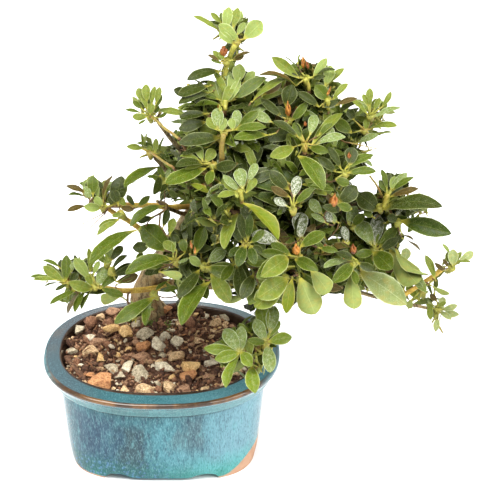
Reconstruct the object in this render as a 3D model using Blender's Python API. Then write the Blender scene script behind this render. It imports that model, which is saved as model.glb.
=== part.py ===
"""Azalea bonsai in an oval glazed pot: pot, soil, trunk, boughs and masses of foliage, each a closed solid.

Sizes are in millimetres, in a working frame centred on the pot, with the surface that its feet stand on at
z = 0, the pot's long side along X and the front towards -Y. At the end everything moves sideways together,
so that the origin is under the middle of the whole plant.
"""

import math

import bmesh
import bpy
import numpy as np
from mathutils import Vector, noise

MM = 0.001
GAP = 0.3  # clearance between neighbouring solids
SLEEVE_GAP = 1.3 * GAP  # the same round a limb, with its sides' chords allowed for

# Pot: an oval a little squarer than an ellipse.
POT_LENGTH = 152.0
POT_WIDTH = 121.0
POT_HEIGHT = 71.0
OVAL_POWER = 2.3
POT_SIDES = 34
UNDERSIDE_Z = 9.0
FLOOR_Z = 14.0
DRAIN_RADIUS = 6.0
DRAIN_SIDES = 16
# Each ring of the pot's skin, as its distance in from the rim, its height and the power of its oval: up the
# outside, over the lip, and down the inside. The foot is squarer than the rim.
FOOT_RING_INSIDE = ((24.0, UNDERSIDE_Z, 3.0), (22.5, 0.0, 3.0))
POT_OUTSIDE = (
    (15.6, 0.0, 3.2),
    (14.8, 4.0, 3.1),
    (13.4, 13.0, 2.9),
    (11.9, 27.0, 2.65),
    (10.0, 50.0, 2.4),
    (9.4, 59.5, OVAL_POWER),
)
POT_LIP = (
    (6.4, 61.0, OVAL_POWER),
    (4.6, 65.5, OVAL_POWER),
    (0.6, 67.6, OVAL_POWER),
    (0.0, 69.6, OVAL_POWER),
    (1.0, POT_HEIGHT, OVAL_POWER),
    (10.2, 69.9, OVAL_POWER),
    (11.4, 68.6, OVAL_POWER),
)
POT_INSIDE = ((13.4, 60.0, OVAL_POWER), (15.2, 26.0, OVAL_POWER), (20.0, FLOOR_Z, OVAL_POWER))
# Arches between the feet, as half of a profile that is mirrored: distance from the middle and height.
LONG_ARCH = ((0.0, 2.6), (17.0, 2.6), (22.0, 4.4), (28.0, 5.6), (34.0, 4.2), (38.5, -2.0))
SHORT_ARCH = ((0.0, 6.6), (14.0, 6.6), (19.0, 4.6), (23.0, -2.0))

# Soil: heaped up to a level patch under the trunk.
SOIL_EDGE_FRONT_Z = 63.2
SOIL_EDGE_BACK_Z = 75.2
SOIL_PATCH_RADIUS = 11.0
SOIL_TOP_Z = 75.5
SOIL_RINGS = (0.35, 0.7, 1.0)

# Trunk: a route that it passes through, and a radius that falls from the root flare to the tip.
TRUNK_ROUTE = (
    (-10.5, 37.0, SOIL_TOP_Z + GAP),
    (-12.5, 36.0, 92.0),
    (-4.0, 31.5, 114.0),
    (11.7, 26.0, 144.0),
    (24.0, 21.0, 170.0),
    (35.0, 15.0, 203.0),
    (41.0, 9.5, 234.0),
    (43.5, 6.0, 266.0),
)
TRUNK_BASE_RADIUS = 9.6
TRUNK_TIP_RADIUS = 1.1
TRUNK_TAPER_POWER = 1.35
FLARE_EXTRA = 2.9
FLARE_HEIGHT = 7.0
TRUNK_STEPS = 14

# Foliage masses: middle, half sizes along X, Y and Z, and the ends of the shoots that stand out furthest.
MASSES = {
    "foliage_top": ((43, 6, 284), (15, 17, 17), ((45, 5, 308), (24, 8, 299), (64, 2, 296), (48, 20, 296))),
    "foliage_crown_front": (
        (44, -12, 240),
        (26, 28, 22),
        ((20, -2, 262), (77, 6, 260), (57, -36, 250), (30, -38, 240)),
    ),
    "foliage_left_high": ((-2, -2, 243), (13, 16, 13), ((-16, -4, 245), (-8, 3, 257), (6, 0, 256))),
    "foliage_left_upper": ((-3, -3, 216), (11, 15, 9), ((-17, -5, 220), (-5, 0, 229), (10, -6, 224))),
    "foliage_upper_right": (
        (92, 4, 254),
        (23, 26, 20),
        ((69, 5, 275), (87, 0, 279), (112, 5, 268), (106, -20, 262), (96, 28, 266)),
    ),
    "foliage_right_high": ((134, 14, 236), (12, 17, 14), ((129, 15, 250), (142, 12, 249), (147, 15, 236))),
    "foliage_centre": (
        (42, -42, 203),
        (28, 30, 25),
        ((18, -54, 208), (50, -72, 214), (64, -60, 196), (26, -66, 190)),
    ),
    "foliage_centre_right": (
        (88, -25, 212),
        (30, 34, 24),
        ((84, -60, 222), (108, -50, 204), (70, -54, 222)),
    ),
    "foliage_centre_low": (
        (86, -42, 166),
        (32, 30, 29),
        ((79, -44, 127), (96, -48, 130), (70, -72, 172), (104, -68, 160), (57, -46, 142)),
    ),
    "foliage_mid_left": (
        (-38, 1, 181.5),
        (14, 15, 11),
        ((-55, 0, 193), (-54, 0, 175), (-38, 4, 198), (-26, 0, 199)),
    ),
    "foliage_inner_left": ((-4, -12, 193), (16, 18, 12), ((-26, 0, 184), (0, -8, 207), (-10, -28, 184))),
    "foliage_low_left": (
        (-52, -12, 132),
        (17, 16, 11),
        ((-79, -10, 134), (-41, -5, 151), (-56, -12, 109), (-32, -16, 117), (-66, -14, 116), (-26, -9, 156)),
    ),
    "foliage_low_centre": (
        (23, -22, 156),
        (23, 21, 20),
        ((-17, -25, 144), (16, -28, 114), (44, -30, 138), (20, -46, 160)),
    ),
    "foliage_low_fringe": ((-13, -13, 112), (9, 9, 6), ((-26, -22, 109), (-7, -21, 106), (-3, -8, 118))),
    "foliage_right_upper": ((119, 8, 213), (16, 20, 15), ((134, 4, 213), (134, 4, 200), (112, 14, 228))),
    "foliage_right": (
        (145, 2, 182),
        (25, 25, 20),
        ((156, 5, 207), (172, 5, 178), (178, 0, 163), (142, -24, 188), (120, -12, 170)),
    ),
    "foliage_low_right": (
        (133, -4, 140),
        (27, 24, 22),
        ((164, 5, 130), (150, 0, 110), (121, -15, 114), (136, -30, 150)),
    ),
    "foliage_right_tip": (
        (182, 5, 134),
        (9, 10, 8),
        ((176, 8, 146), (197, 5, 144), (167, 5, 138), (182, 0, 117)),
    ),
    "foliage_low_right_tip": ((176, -5, 105), (8, 10, 8), ((188, -5, 104), (174, -8, 92), (169, -5, 117))),
    "foliage_front_spray": (
        (57, -50, 108),
        (19, 17, 14),
        ((29, -55, 108), (82, -50, 116), (40, -66, 88), (60, -63, 86), (58, -44, 130)),
    ),
    "foliage_back_high": ((66, 46, 228), (30, 24, 22), ((62, 66, 244), (94, 56, 236), (36, 52, 238))),
    "foliage_back_left": ((20, 60, 172), (26, 24, 26), ((-6, 66, 174), (10, 84, 184), (24, 80, 156))),
    "foliage_back_middle": ((58, 82, 186), (31, 24, 30), ((52, 106, 200), (76, 104, 180), (40, 98, 166))),
    "foliage_back_right": ((104, 60, 190), (30, 28, 28), ((134, 68, 198), (118, 88, 184), (128, 52, 166))),
    "foliage_back_low": ((88, 52, 142), (32, 24, 20), ((84, 78, 132), (116, 62, 134), (64, 62, 128))),
}
SMALL_MASS_SIZE = 15.5  # masses with a mean half size below this get the coarser of two spheres
SMALL_MASS_GRID = (10, 8)
LARGE_MASS_GRID = (14, 9)
LOBE_WIDTH = math.radians(25.0)  # how far round a shoot its lobe reaches
LUMP_SIZE = 11.0  # masses whose middles are closer than this get similar lumps
LUMPS_ACROSS = 2.0
LUMP_DEPTH = 0.26
MASS_SEED = 4.7

# Boughs: the limb that each grows from, how far along it, the mass it enters, how far the middle of its route
# bows along X, Y and Z, and its radius at both ends.
BOUGHS = {
    "bough_upper_left_high": ("trunk", 0.63, "foliage_left_high", (0, -4, 2), 2.1, 1.2),
    "bough_upper_left_low": ("trunk", 0.56, "foliage_left_upper", (-2, -3, 5), 2.1, 1.1),
    "bough_mid_left": ("trunk", 0.55, "foliage_mid_left", (2, -2, -1.5), 1.6, 1.3),
    "bough_mid_left_under": ("trunk", 0.38, "foliage_mid_left", (2, -2, -1.5), 1.5, 1.2),
    "bough_inner_left": ("trunk", 0.51, "foliage_inner_left", (0, -2, -2), 1.6, 1.0),
    "bough_back_left": ("trunk", 0.36, "foliage_back_left", (6, 3, -3), 2.6, 1.4),
    "bough_back_high": ("trunk", 0.66, "foliage_back_high", (-2, 3, -3), 2.3, 1.2),
    "bough_back_middle": ("trunk", 0.43, "foliage_back_middle", (-4, 5, -5), 3.0, 1.5),
    "bough_upper_right": ("trunk", 0.58, "foliage_upper_right", (3, 7, -4), 2.9, 1.5),
    "bough_right_high": ("bough_upper_right", 0.62, "foliage_right_high", (3, 5, -6), 1.9, 1.1),
    "bough_centre": ("trunk", 0.47, "foliage_centre", (-3, -3, 4), 2.2, 1.3),
    "bough_centre_right": ("trunk", 0.52, "foliage_centre_right", (2, 4, -4), 2.5, 1.4),
    "bough_right": ("trunk", 0.41, "foliage_right", (2, 10, -4), 3.4, 1.6),
    "bough_right_upper": ("bough_right", 0.45, "foliage_right_upper", (1, 3, -2), 1.9, 1.1),
    "bough_back_right": ("bough_right", 0.34, "foliage_back_right", (-4, 4, -3), 2.2, 1.3),
    "bough_low_right": ("trunk", 0.21, "foliage_low_right", (-8, 8, -13), 4.0, 1.8),
    "bough_low_centre": ("trunk", 0.25, "foliage_low_centre", (0, -2, -3), 2.2, 1.2),
    "bough_back_low": ("bough_low_right", 0.36, "foliage_back_low", (-4, 3, -4), 2.2, 1.3),
    "bough_centre_low": ("bough_low_right", 0.42, "foliage_centre_low", (-5, 3, -5), 2.4, 1.3),
    "bough_front": ("bough_low_right", 0.62, "foliage_front_spray", (7, 0, 10), 1.9, 1.1),
    "bough_low_left": ("bough_low_right", 0.14, "foliage_low_left", (1, -4, -4), 1.6, 1.3),
    "bough_low_right_tip": ("bough_low_right", 0.82, "foliage_low_right_tip", (2, -3, 0), 1.5, 1.0),
    "bough_right_tip": ("bough_low_right_tip", 0.66, "foliage_right_tip", (1, 0, -2), 1.3, 1.1),
}
BOUGH_STEPS = 5
BOUGH_ROUTE_STEPS = 20  # of the whole line, before it is ended at its mass
ENTERS_BY = 0.15  # a bough goes this share of the way from a mass's skin to its middle
TRUNK_BEVEL = 4  # about twelve sides
BOUGH_BEVEL = 1  # about six sides

# Base colour and roughness of each kind of node.
NODE_COLOURS = {
    "pot": ((0.10, 0.36, 0.44), 0.18),
    "soil": ((0.13, 0.075, 0.05), 0.92),
    "trunk": ((0.30, 0.21, 0.15), 0.85),
    "bough": ((0.33, 0.24, 0.14), 0.80),
    "foliage": ((0.13, 0.24, 0.07), 0.75),
}
MASS_TINTS = (0.85, 0.93, 1.0, 1.08, 1.15)

plant = bpy.data.collections.new("azalea_bonsai")
cutters = bpy.data.collections.new("cutters")


def start_clean():
    for old in list(bpy.data.objects):
        bpy.data.objects.remove(old)
    bpy.context.scene.collection.children.link(plant)
    bpy.context.scene.collection.children.link(cutters)


def finish_for(name):
    """The material of a node: a colour for each kind of sub-part, each mass a little lighter or darker."""
    kind = name.split("_")[0]
    colour, roughness = NODE_COLOURS[kind]
    material = bpy.data.materials.new(name)
    material.use_nodes = True
    shader = material.node_tree.nodes["Principled BSDF"]
    tint = MASS_TINTS[len(bpy.data.materials) % len(MASS_TINTS)] if kind == "foliage" else 1.0
    shader.inputs["Base Color"].default_value = (*(tint * c for c in colour), 1.0)
    shader.inputs["Roughness"].default_value = roughness
    shader.inputs["Metallic"].default_value = 0.0
    return material


def add_object(name, mesh, collection=plant):
    item = bpy.data.objects.new(name, mesh)
    collection.objects.link(item)
    if collection is plant:
        mesh.materials.append(finish_for(name))
    else:
        item.hide_render = True
        item.display_type = "WIRE"
    return item


def mesh_from(name, shape):
    bmesh.ops.recalc_face_normals(shape, faces=shape.faces)
    mesh = bpy.data.meshes.new(name)
    shape.to_mesh(mesh)
    shape.free()
    return mesh


def oval_point(inset, step, power=OVAL_POWER):
    """A point of the pot's oval, moved in from the rim by inset."""
    angle = 2 * math.pi * step / POT_SIDES
    along, across = math.cos(angle), math.sin(angle)
    x = (POT_LENGTH / 2 - inset) * math.copysign(abs(along) ** (2 / power), along)
    y = (POT_WIDTH / 2 - inset) * math.copysign(abs(across) ** (2 / power), across)
    return x, y


def oval_ring(inset, z, power=OVAL_POWER):
    return [(*oval_point(inset, step, power), z) for step in range(POT_SIDES)]


def loft(name, rings):
    """A closed skin through rings of equally many points, the first and the last of them filled."""
    shape = bmesh.new()
    layers = [[shape.verts.new(Vector(point) * MM) for point in ring] for ring in rings]
    for lower, upper in zip(layers, layers[1:]):
        for here in range(len(lower)):
            there = (here + 1) % len(lower)
            shape.faces.new((lower[here], lower[there], upper[there], upper[here]))
    shape.faces.new(layers[0])
    shape.faces.new(layers[-1])
    return mesh_from(name, shape)


def cut_with(item, cutter):
    cut = item.modifiers.new(cutter.name, "BOOLEAN")
    cut.operation = "DIFFERENCE"
    cut.solver = "EXACT"
    cut.object = cutter


def arch_cutter(name, half_profile, through_width):
    """A bar with the arches' outline. It lies along Y and runs through both walls."""
    profile = [(-x, z) for x, z in reversed(half_profile)] + list(half_profile[1:])
    shape = bmesh.new()
    ends = [
        [shape.verts.new(Vector((x, side * through_width / 2, z)) * MM) for x, z in profile]
        for side in (-1, 1)
    ]
    for here in range(len(profile)):
        there = (here + 1) % len(profile)
        shape.faces.new((ends[0][here], ends[0][there], ends[1][there], ends[1][here]))
    shape.faces.new(ends[0])
    shape.faces.new(ends[1])
    return add_object(name, mesh_from(name, shape), cutters)


def drain_cutter():
    """A rod through the middle of the floor."""
    shape = bmesh.new()
    rod = {"segments": DRAIN_SIDES, "radius1": DRAIN_RADIUS * MM, "radius2": DRAIN_RADIUS * MM}
    bmesh.ops.create_cone(shape, cap_ends=True, depth=2 * FLOOR_Z * MM, **rod)
    drain = add_object("drain_hole", mesh_from("drain_hole", shape), cutters)
    drain.location.z = FLOOR_Z * MM
    return drain


def make_pot():
    sections = FOOT_RING_INSIDE + POT_OUTSIDE + POT_LIP + POT_INSIDE
    pot = add_object("pot", loft("pot", [oval_ring(*section) for section in sections]))
    long_side = arch_cutter("arches_long_sides", LONG_ARCH, 2 * POT_WIDTH)
    short_side = arch_cutter("arches_short_sides", SHORT_ARCH, 2 * POT_LENGTH)
    short_side.rotation_euler.z = math.pi / 2
    drain = drain_cutter()
    for cutter in (long_side, short_side, drain):
        cut_with(pot, cutter)
    return pot


def inside_of_pot(z):
    """How far in from the rim the pot's inner face is at height z."""
    rings = [*reversed(POT_INSIDE), POT_LIP[-1]]
    insets, heights, _ = zip(*rings)
    return float(np.interp(z, heights, insets))


def make_soil():
    foot_x, foot_y, _ = TRUNK_ROUTE[0]
    sides = [oval_ring(inset + GAP, z, power) for inset, z, power in reversed(POT_INSIDE)]
    sides[0] = [(x, y, z + GAP) for x, y, z in sides[0]]
    edge = []
    for step in range(POT_SIDES):
        towards_back = (1 + oval_point(0, step)[1] / (POT_WIDTH / 2)) / 2
        edge_z = SOIL_EDGE_FRONT_Z + (SOIL_EDGE_BACK_Z - SOIL_EDGE_FRONT_Z) * towards_back**2
        edge.append((*oval_point(inside_of_pot(edge_z) + GAP, step), edge_z))
    patch = []
    for x, y, _ in edge:
        heading = math.atan2(y - foot_y, x - foot_x)
        patch_x = foot_x + SOIL_PATCH_RADIUS * math.cos(heading)
        patch_y = foot_y + SOIL_PATCH_RADIUS * math.sin(heading)
        patch.append((patch_x, patch_y, SOIL_TOP_Z))
    slope = [
        [tuple(p + (e - p) * share for p, e in zip(top, side)) for top, side in zip(patch, edge)]
        for share in reversed(SOIL_RINGS)
    ]
    return add_object("soil", loft("soil", [*sides, *slope, patch]))


def smooth_route(points, steps):
    """Evenly numbered points on a Catmull-Rom curve through the given ones."""
    given = np.array(points, float)
    padded = np.vstack([2 * given[0] - given[1], given, 2 * given[-1] - given[-2]])
    route = []
    for step in range(steps + 1):
        place = step / steps * (len(given) - 1)
        span = min(int(place), len(given) - 2)
        t = place - span
        a, b, c, d = padded[span : span + 4]
        bend = (2 * a - 5 * b + 4 * c - d) * t**2
        twist = (3 * b - a - 3 * c + d) * t**3
        route.append(0.5 * (2 * b + (c - a) * t + bend + twist))
    return route


def point_along(route, place):
    """The point at a place on a route, counted in its own points from 0."""
    ways = np.array(route)
    return [float(np.interp(place, range(len(ways)), ways[:, axis])) for axis in range(3)]


def trunk_radius(share, height):
    taper = (1 - share) ** TRUNK_TAPER_POWER
    flare = FLARE_EXTRA * math.exp(-(height - TRUNK_ROUTE[0][2]) / FLARE_HEIGHT)
    return TRUNK_TIP_RADIUS + (TRUNK_BASE_RADIUS - TRUNK_TIP_RADIUS) * taper + flare


def limb_mesh(name, route, radii, bevel, extra=0.0):
    """A round limb through the route, made as a curve and then turned into a mesh with its caps welded."""
    curve = bpy.data.curves.new(name, "CURVE")
    curve.dimensions = "3D"
    curve.bevel_depth = MM
    curve.bevel_resolution = bevel
    curve.use_fill_caps = True
    spline = curve.splines.new("POLY")
    spline.points.add(len(route) - 1)
    for point, place, radius in zip(spline.points, route, radii):
        point.co = (*(Vector(place) * MM), 1.0)
        point.radius = radius + extra
    guide = bpy.data.objects.new(name + "_guide", curve)
    cutters.objects.link(guide)
    bpy.context.view_layer.update()
    mesh = bpy.data.meshes.new_from_object(guide.evaluated_get(bpy.context.evaluated_depsgraph_get()))
    bpy.data.objects.remove(guide)
    shape = bmesh.new()
    shape.from_mesh(mesh)
    bmesh.ops.remove_doubles(shape, verts=shape.verts, dist=MM / 1000)
    mesh.materials.clear()
    bmesh.ops.recalc_face_normals(shape, faces=shape.faces)
    shape.to_mesh(mesh)
    shape.free()
    mesh.name = name
    return mesh


def flat_foot(mesh, base_z):
    """Brings the trunk's lowest ring level, so that it stands on a flat cut."""
    lowest_ring = sorted(mesh.vertices, key=lambda vertex: vertex.co.z)[: 2 * TRUNK_BEVEL + 4]
    for vertex in lowest_ring:
        vertex.co.z = base_z * MM


def bough_route(start, middle_of_mass, bow):
    """A bowed line from the parent limb's axis to the middle of the mass."""
    start, goal, bow = (np.array(v, float) for v in (start, middle_of_mass, bow))
    shares = np.linspace(0, 1, BOUGH_ROUTE_STEPS + 1)
    return [start + (goal - start) * t + 4 * t * (1 - t) * bow for t in shares]


def mean_half_size(name):
    return sum(MASSES[name][1]) / 3


def ellipsoid_reach(half_sizes, direction):
    return 1.0 / math.sqrt(sum((d / h) ** 2 for d, h in zip(direction, half_sizes)))


def mass_reach(name, direction):
    """How far the skin of a mass is from its middle along a unit direction, before neighbours cut it."""
    middle, half_sizes, shoots = MASSES[name]
    middle = Vector(middle)
    lump = noise.noise(middle / LUMP_SIZE + direction * LUMPS_ACROSS + Vector((MASS_SEED, 0, 0)))
    reach = ellipsoid_reach(half_sizes, direction) * (1 + LUMP_DEPTH * lump)
    for shoot in shoots:
        stem = Vector(shoot) - middle
        turn = direction.angle(stem)
        reach = max(reach, stem.length * math.exp(-((turn / LOBE_WIDTH) ** 2) / 2))
    return reach


def wall_towards(name, other):
    """The unit direction from one mass to another, and how far along it the wall between them lies."""
    middle, half_sizes, _ = MASSES[name]
    other_middle, other_half_sizes, _ = MASSES[other]
    apart = Vector(other_middle) - Vector(middle)
    direction = apart.normalized()
    own = ellipsoid_reach(half_sizes, direction)
    theirs = ellipsoid_reach(other_half_sizes, direction)
    return direction, apart.length * own / (own + theirs) - GAP / 2


def cut_reach(name, direction, reach):
    """Shortens a reach to the walls that part a mass from its neighbours."""
    for other in MASSES:
        if other == name:
            continue
        towards, wall = wall_towards(name, other)
        lean = direction.dot(towards)
        if lean > 0:
            reach = min(reach, wall / lean)
    return reach


def make_mass(name):
    middle = Vector(MASSES[name][0])
    shape = bmesh.new()
    around, down = SMALL_MASS_GRID if mean_half_size(name) < SMALL_MASS_SIZE else LARGE_MASS_GRID
    bmesh.ops.create_uvsphere(shape, u_segments=around, v_segments=down, radius=1.0)
    for vertex in shape.verts:
        direction = vertex.co.normalized()
        reach = cut_reach(name, direction, mass_reach(name, direction))
        vertex.co = middle + direction * reach
    for shoot in MASSES[name][2]:
        stem = Vector(shoot) - middle
        nearest = min(shape.verts, key=lambda vertex: (vertex.co - middle).angle(stem))
        nearest.co = middle + stem.normalized() * cut_reach(name, stem.normalized(), stem.length)
    bmesh.ops.scale(shape, vec=(MM, MM, MM), verts=shape.verts)
    return add_object(name, mesh_from(name, shape))


def inside_mass(name, point):
    offset = Vector(point) - Vector(MASSES[name][0])
    if offset.length < 1e-6:
        return True
    direction = offset.normalized()
    skin = cut_reach(name, direction, mass_reach(name, direction))
    return offset.length < skin


def trim_at_mass(route, name):
    """Ends a bough's route a little way inside the skin of its mass."""
    entered = next(i for i, point in enumerate(route) if inside_mass(name, point))
    last = entered + round(ENTERS_BY * (len(route) - 1 - entered))
    return [point_along(route, place) for place in np.linspace(0, last, BOUGH_STEPS + 1)]


def plan_limbs():
    """The route, the radii and the bevel of each limb, parents before the boughs that grow from them."""
    trunk_route = smooth_route(TRUNK_ROUTE, TRUNK_STEPS)
    shares = np.linspace(0, 1, TRUNK_STEPS + 1)
    trunk_radii = [trunk_radius(share, point[2]) for share, point in zip(shares, trunk_route)]
    limbs = {"trunk": (trunk_route, trunk_radii, TRUNK_BEVEL)}
    for name, (parent, along, goal, bow, start_radius, end_radius) in BOUGHS.items():
        parent_route = limbs[parent][0]
        start = point_along(parent_route, along * (len(parent_route) - 1))
        route = trim_at_mass(bough_route(start, MASSES[goal][0], bow), goal)
        radii = np.linspace(start_radius, end_radius, len(route))
        limbs[name] = (route, radii, BOUGH_BEVEL)
    return limbs


def boxes_meet(first, second):
    spans = []
    for item in (first, second):
        corners = np.array([item.matrix_world @ Vector(corner) for corner in item.bound_box])
        spans.append((corners.min(0), corners.max(0)))
    return bool((spans[0][0] < spans[1][1]).all() and (spans[1][0] < spans[0][1]).all())


def apply_cuts(item):
    """Applies an object's modifiers and keeps its largest body, without slivers that a cut left loose."""
    mesh = bpy.data.meshes.new_from_object(item.evaluated_get(bpy.context.evaluated_depsgraph_get()))
    item.modifiers.clear()
    shape = bmesh.new()
    shape.from_mesh(mesh)
    shape.verts.ensure_lookup_table()
    unseen = set(range(len(shape.verts)))
    bodies = []
    while unseen:
        body = set()
        edge = [unseen.pop()]
        while edge:
            body.update(edge)
            near = {e.other_vert(shape.verts[v]).index for v in edge for e in shape.verts[v].link_edges}
            edge = list(near & unseen)
            unseen -= near
        bodies.append(body)
    largest = max(bodies, key=len)
    loose = [vertex for vertex in shape.verts if vertex.index not in largest]
    bmesh.ops.delete(shape, geom=loose, context="VERTS")
    shape.to_mesh(mesh)
    shape.free()
    old = item.data
    item.data = mesh
    bpy.data.meshes.remove(old)


def make_plant():
    limbs = plan_limbs()
    solids, sleeves = {}, {}
    for name, (route, radii, bevel) in limbs.items():
        solids[name] = add_object(name, limb_mesh(name, route, radii, bevel))
        sleeve = limb_mesh(name + "_sleeve", route, radii, bevel, extra=SLEEVE_GAP)
        sleeves[name] = add_object(name + "_sleeve", sleeve, cutters)
    flat_foot(solids["trunk"].data, TRUNK_ROUTE[0][2])
    for name in MASSES:
        solids[name] = make_mass(name)
    bpy.context.view_layer.update()
    for name, (parent, *_) in BOUGHS.items():
        cut_with(solids[name], sleeves[parent])
    for name in MASSES:
        for limb, sleeve in sleeves.items():
            if boxes_meet(solids[name], sleeve):
                cut_with(solids[name], sleeve)
    bpy.context.view_layer.update()
    for name in [*BOUGHS, *MASSES]:
        apply_cuts(solids[name])


def centre_on_box():
    """Moves everything sideways so that the origin is under the middle of the whole plant's box."""
    bpy.context.view_layer.update()
    depsgraph = bpy.context.evaluated_depsgraph_get()
    corners = []
    for item in plant.objects:
        shown = item.evaluated_get(depsgraph)
        corners += [shown.matrix_world @ Vector(corner) for corner in shown.bound_box]
    corners = np.array(corners)
    middle = (corners.min(0) + corners.max(0)) / 2
    for item in [*plant.objects, *cutters.objects]:
        item.location.x -= middle[0]
        item.location.y -= middle[1]


def main():
    start_clean()
    make_pot().data.shade_smooth()
    make_soil()
    make_plant()
    centre_on_box()


main()
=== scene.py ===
"""Azalea bonsai in an oval glazed pot: glaze, soil, bark, twigs and leaves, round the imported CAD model.

Lengths are in millimetres in the pot's own frame: its middle at x = y = 0, the surface that it stands on at
z = 0. "Pixels" are those of a 500 x 500 picture from the scene's camera.
"""

import math

import bmesh
import bpy
import numpy as np
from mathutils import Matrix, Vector, noise
from mathutils.bvhtree import BVHTree


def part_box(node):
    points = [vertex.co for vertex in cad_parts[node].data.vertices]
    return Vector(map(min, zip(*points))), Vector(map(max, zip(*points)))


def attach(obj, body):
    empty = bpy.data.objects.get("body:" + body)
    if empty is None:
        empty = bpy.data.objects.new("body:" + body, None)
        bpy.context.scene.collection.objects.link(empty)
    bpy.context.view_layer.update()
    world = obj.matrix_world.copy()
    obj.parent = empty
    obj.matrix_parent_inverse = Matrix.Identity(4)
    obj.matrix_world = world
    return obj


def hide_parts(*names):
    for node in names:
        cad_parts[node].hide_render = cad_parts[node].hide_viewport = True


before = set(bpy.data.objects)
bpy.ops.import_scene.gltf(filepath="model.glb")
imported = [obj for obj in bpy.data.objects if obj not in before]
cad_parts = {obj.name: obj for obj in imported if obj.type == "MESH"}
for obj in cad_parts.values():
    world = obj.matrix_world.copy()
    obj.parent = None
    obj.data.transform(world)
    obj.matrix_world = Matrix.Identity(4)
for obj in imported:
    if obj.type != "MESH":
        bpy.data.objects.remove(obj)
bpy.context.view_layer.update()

MM = 0.001
POT_LOW, POT_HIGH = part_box("pot")
POT_MIDDLE = np.array([(POT_LOW.x + POT_HIGH.x) / 2, (POT_LOW.y + POT_HIGH.y) / 2, 0.0]) / MM
UP = np.array([0.0, 0.0, 1.0])

# Camera: above the front, looking down.
PICTURE = 500
CAMERA_PLACE = np.array([56.7, -866.7, 667.3])
CAMERA_DOWN = math.radians(31.0)
CAMERA_LENS = 117.25
SENSOR = 36.0
FOCAL_PIXELS = CAMERA_LENS / SENSOR * PICTURE
SIGHT = np.array([0.0, math.cos(CAMERA_DOWN), -math.sin(CAMERA_DOWN)])
RIGHT = np.array([1.0, 0.0, 0.0])
ABOVE = np.array([0.0, math.sin(CAMERA_DOWN), math.cos(CAMERA_DOWN)])


# ---------------------------------------------------------------- general helpers


def unit(v):
    v = np.asarray(v, float)
    return v / (np.linalg.norm(v, axis=-1, keepdims=True) + 1e-12)


def to_row(points):
    """Points in the pot's frame, in mm, as points in the row frame, in metres."""
    return (np.asarray(points, float) + POT_MIDDLE) * MM


def pixel_ray(u, v):
    return unit(SIGHT + RIGHT * (u - PICTURE / 2) / FOCAL_PIXELS - ABOVE * (v - PICTURE / 2) / FOCAL_PIXELS)


def at_pixel(u, v, depth):
    """The point seen at a pixel, at a depth along the line of sight."""
    ray = pixel_ray(u, v)
    return CAMERA_PLACE + ray * depth / (ray @ SIGHT)


def depth_of(point):
    return (np.asarray(point) - CAMERA_PLACE) @ SIGHT


def jitter(point, size, seed=0.0):
    """Smooth noise from -1 to 1 at a point in mm, with lumps of the given size."""
    return noise.noise(Vector(point) / size + Vector((seed, seed * 1.7, -seed)))


def wobble(points, size, reach, seeds=(1.0, 2.0, 3.0)):
    """Smooth shifts of points, up to the given reach along each axis."""
    return reach * np.array([[jitter(point, size, seed) for seed in seeds] for point in points])


class Builder:
    """Collects vertices, faces, face materials and UVs of a joined mesh."""

    def __init__(self):
        self.points, self.faces, self.kinds, self.uvs = [], [], [], []
        self.count = 0

    def add(self, points, faces, kind=0, uv=None):
        """Faces count from this call's first point. kind is a material's index, one for all or one each."""
        self.points.append(np.asarray(points, float))
        faces = np.asarray(faces)
        self.faces.append(faces + self.count)
        self.kinds.append(np.broadcast_to(kind, len(faces)).copy())
        self.uvs.append(uv)
        self.count += len(points)

    def piece(self, name, materials, slot, replaces=(), smooth=True):
        mesh = bpy.data.meshes.new(name)
        rows = [row for block in self.faces for row in block.tolist()]
        mesh.from_pydata(to_row(np.concatenate(self.points)).tolist(), [], rows)
        mesh.polygons.foreach_set("material_index", np.concatenate(self.kinds).astype(np.int32))
        if smooth:
            mesh.polygons.foreach_set("use_smooth", [True] * len(rows))
        if self.uvs[0] is not None:
            corner = np.zeros(len(mesh.loops), np.int32)
            mesh.loops.foreach_get("vertex_index", corner)
            layer = mesh.uv_layers.new(name="OFBake")
            layer.data.foreach_set("uv", np.concatenate(self.uvs)[corner].astype(np.float32).ravel())
        for material in materials:
            mesh.materials.append(material)
        mesh.update()
        item = bpy.data.objects.new(name, mesh)
        return placed(item, replaces)


def placed(item, replaces=()):
    if item.name not in bpy.context.scene.collection.objects:
        bpy.context.scene.collection.objects.link(item)
    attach(item, "root")
    if replaces:
        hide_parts(*replaces)
    return item


def grid_faces(rows, columns, closed=False):
    """Quads of a grid of points, row after row; closed joins its last column to its first."""
    r, c = np.meshgrid(np.arange(rows - 1), np.arange(columns if closed else columns - 1), indexing="ij")
    r, c = r.ravel(), c.ravel()
    d = (c + 1) % columns
    return np.stack([r * columns + c, r * columns + d, (r + 1) * columns + d, (r + 1) * columns + c], 1)


# ---------------------------------------------------------------- materials


def rgb(red, green, blue):
    """A colour from 0 to 255 as it looks on a screen, as a linear one."""
    channels = [c / 255 for c in (red, green, blue)]
    return (*(c / 12.92 if c <= 0.04045 else ((c + 0.055) / 1.055) ** 2.4 for c in channels), 1.0)


def linear(colour):
    """A screen colour as a linear one. A socket, or a colour that is linear already, stays as it is."""
    return rgb(*colour) if isinstance(colour, tuple) and len(colour) == 3 else colour


def scaled(colour, factors):
    """A screen colour as a linear one with its channels scaled."""
    return (*(channel * factor for channel, factor in zip(rgb(*colour), factors)), 1.0)


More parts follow.
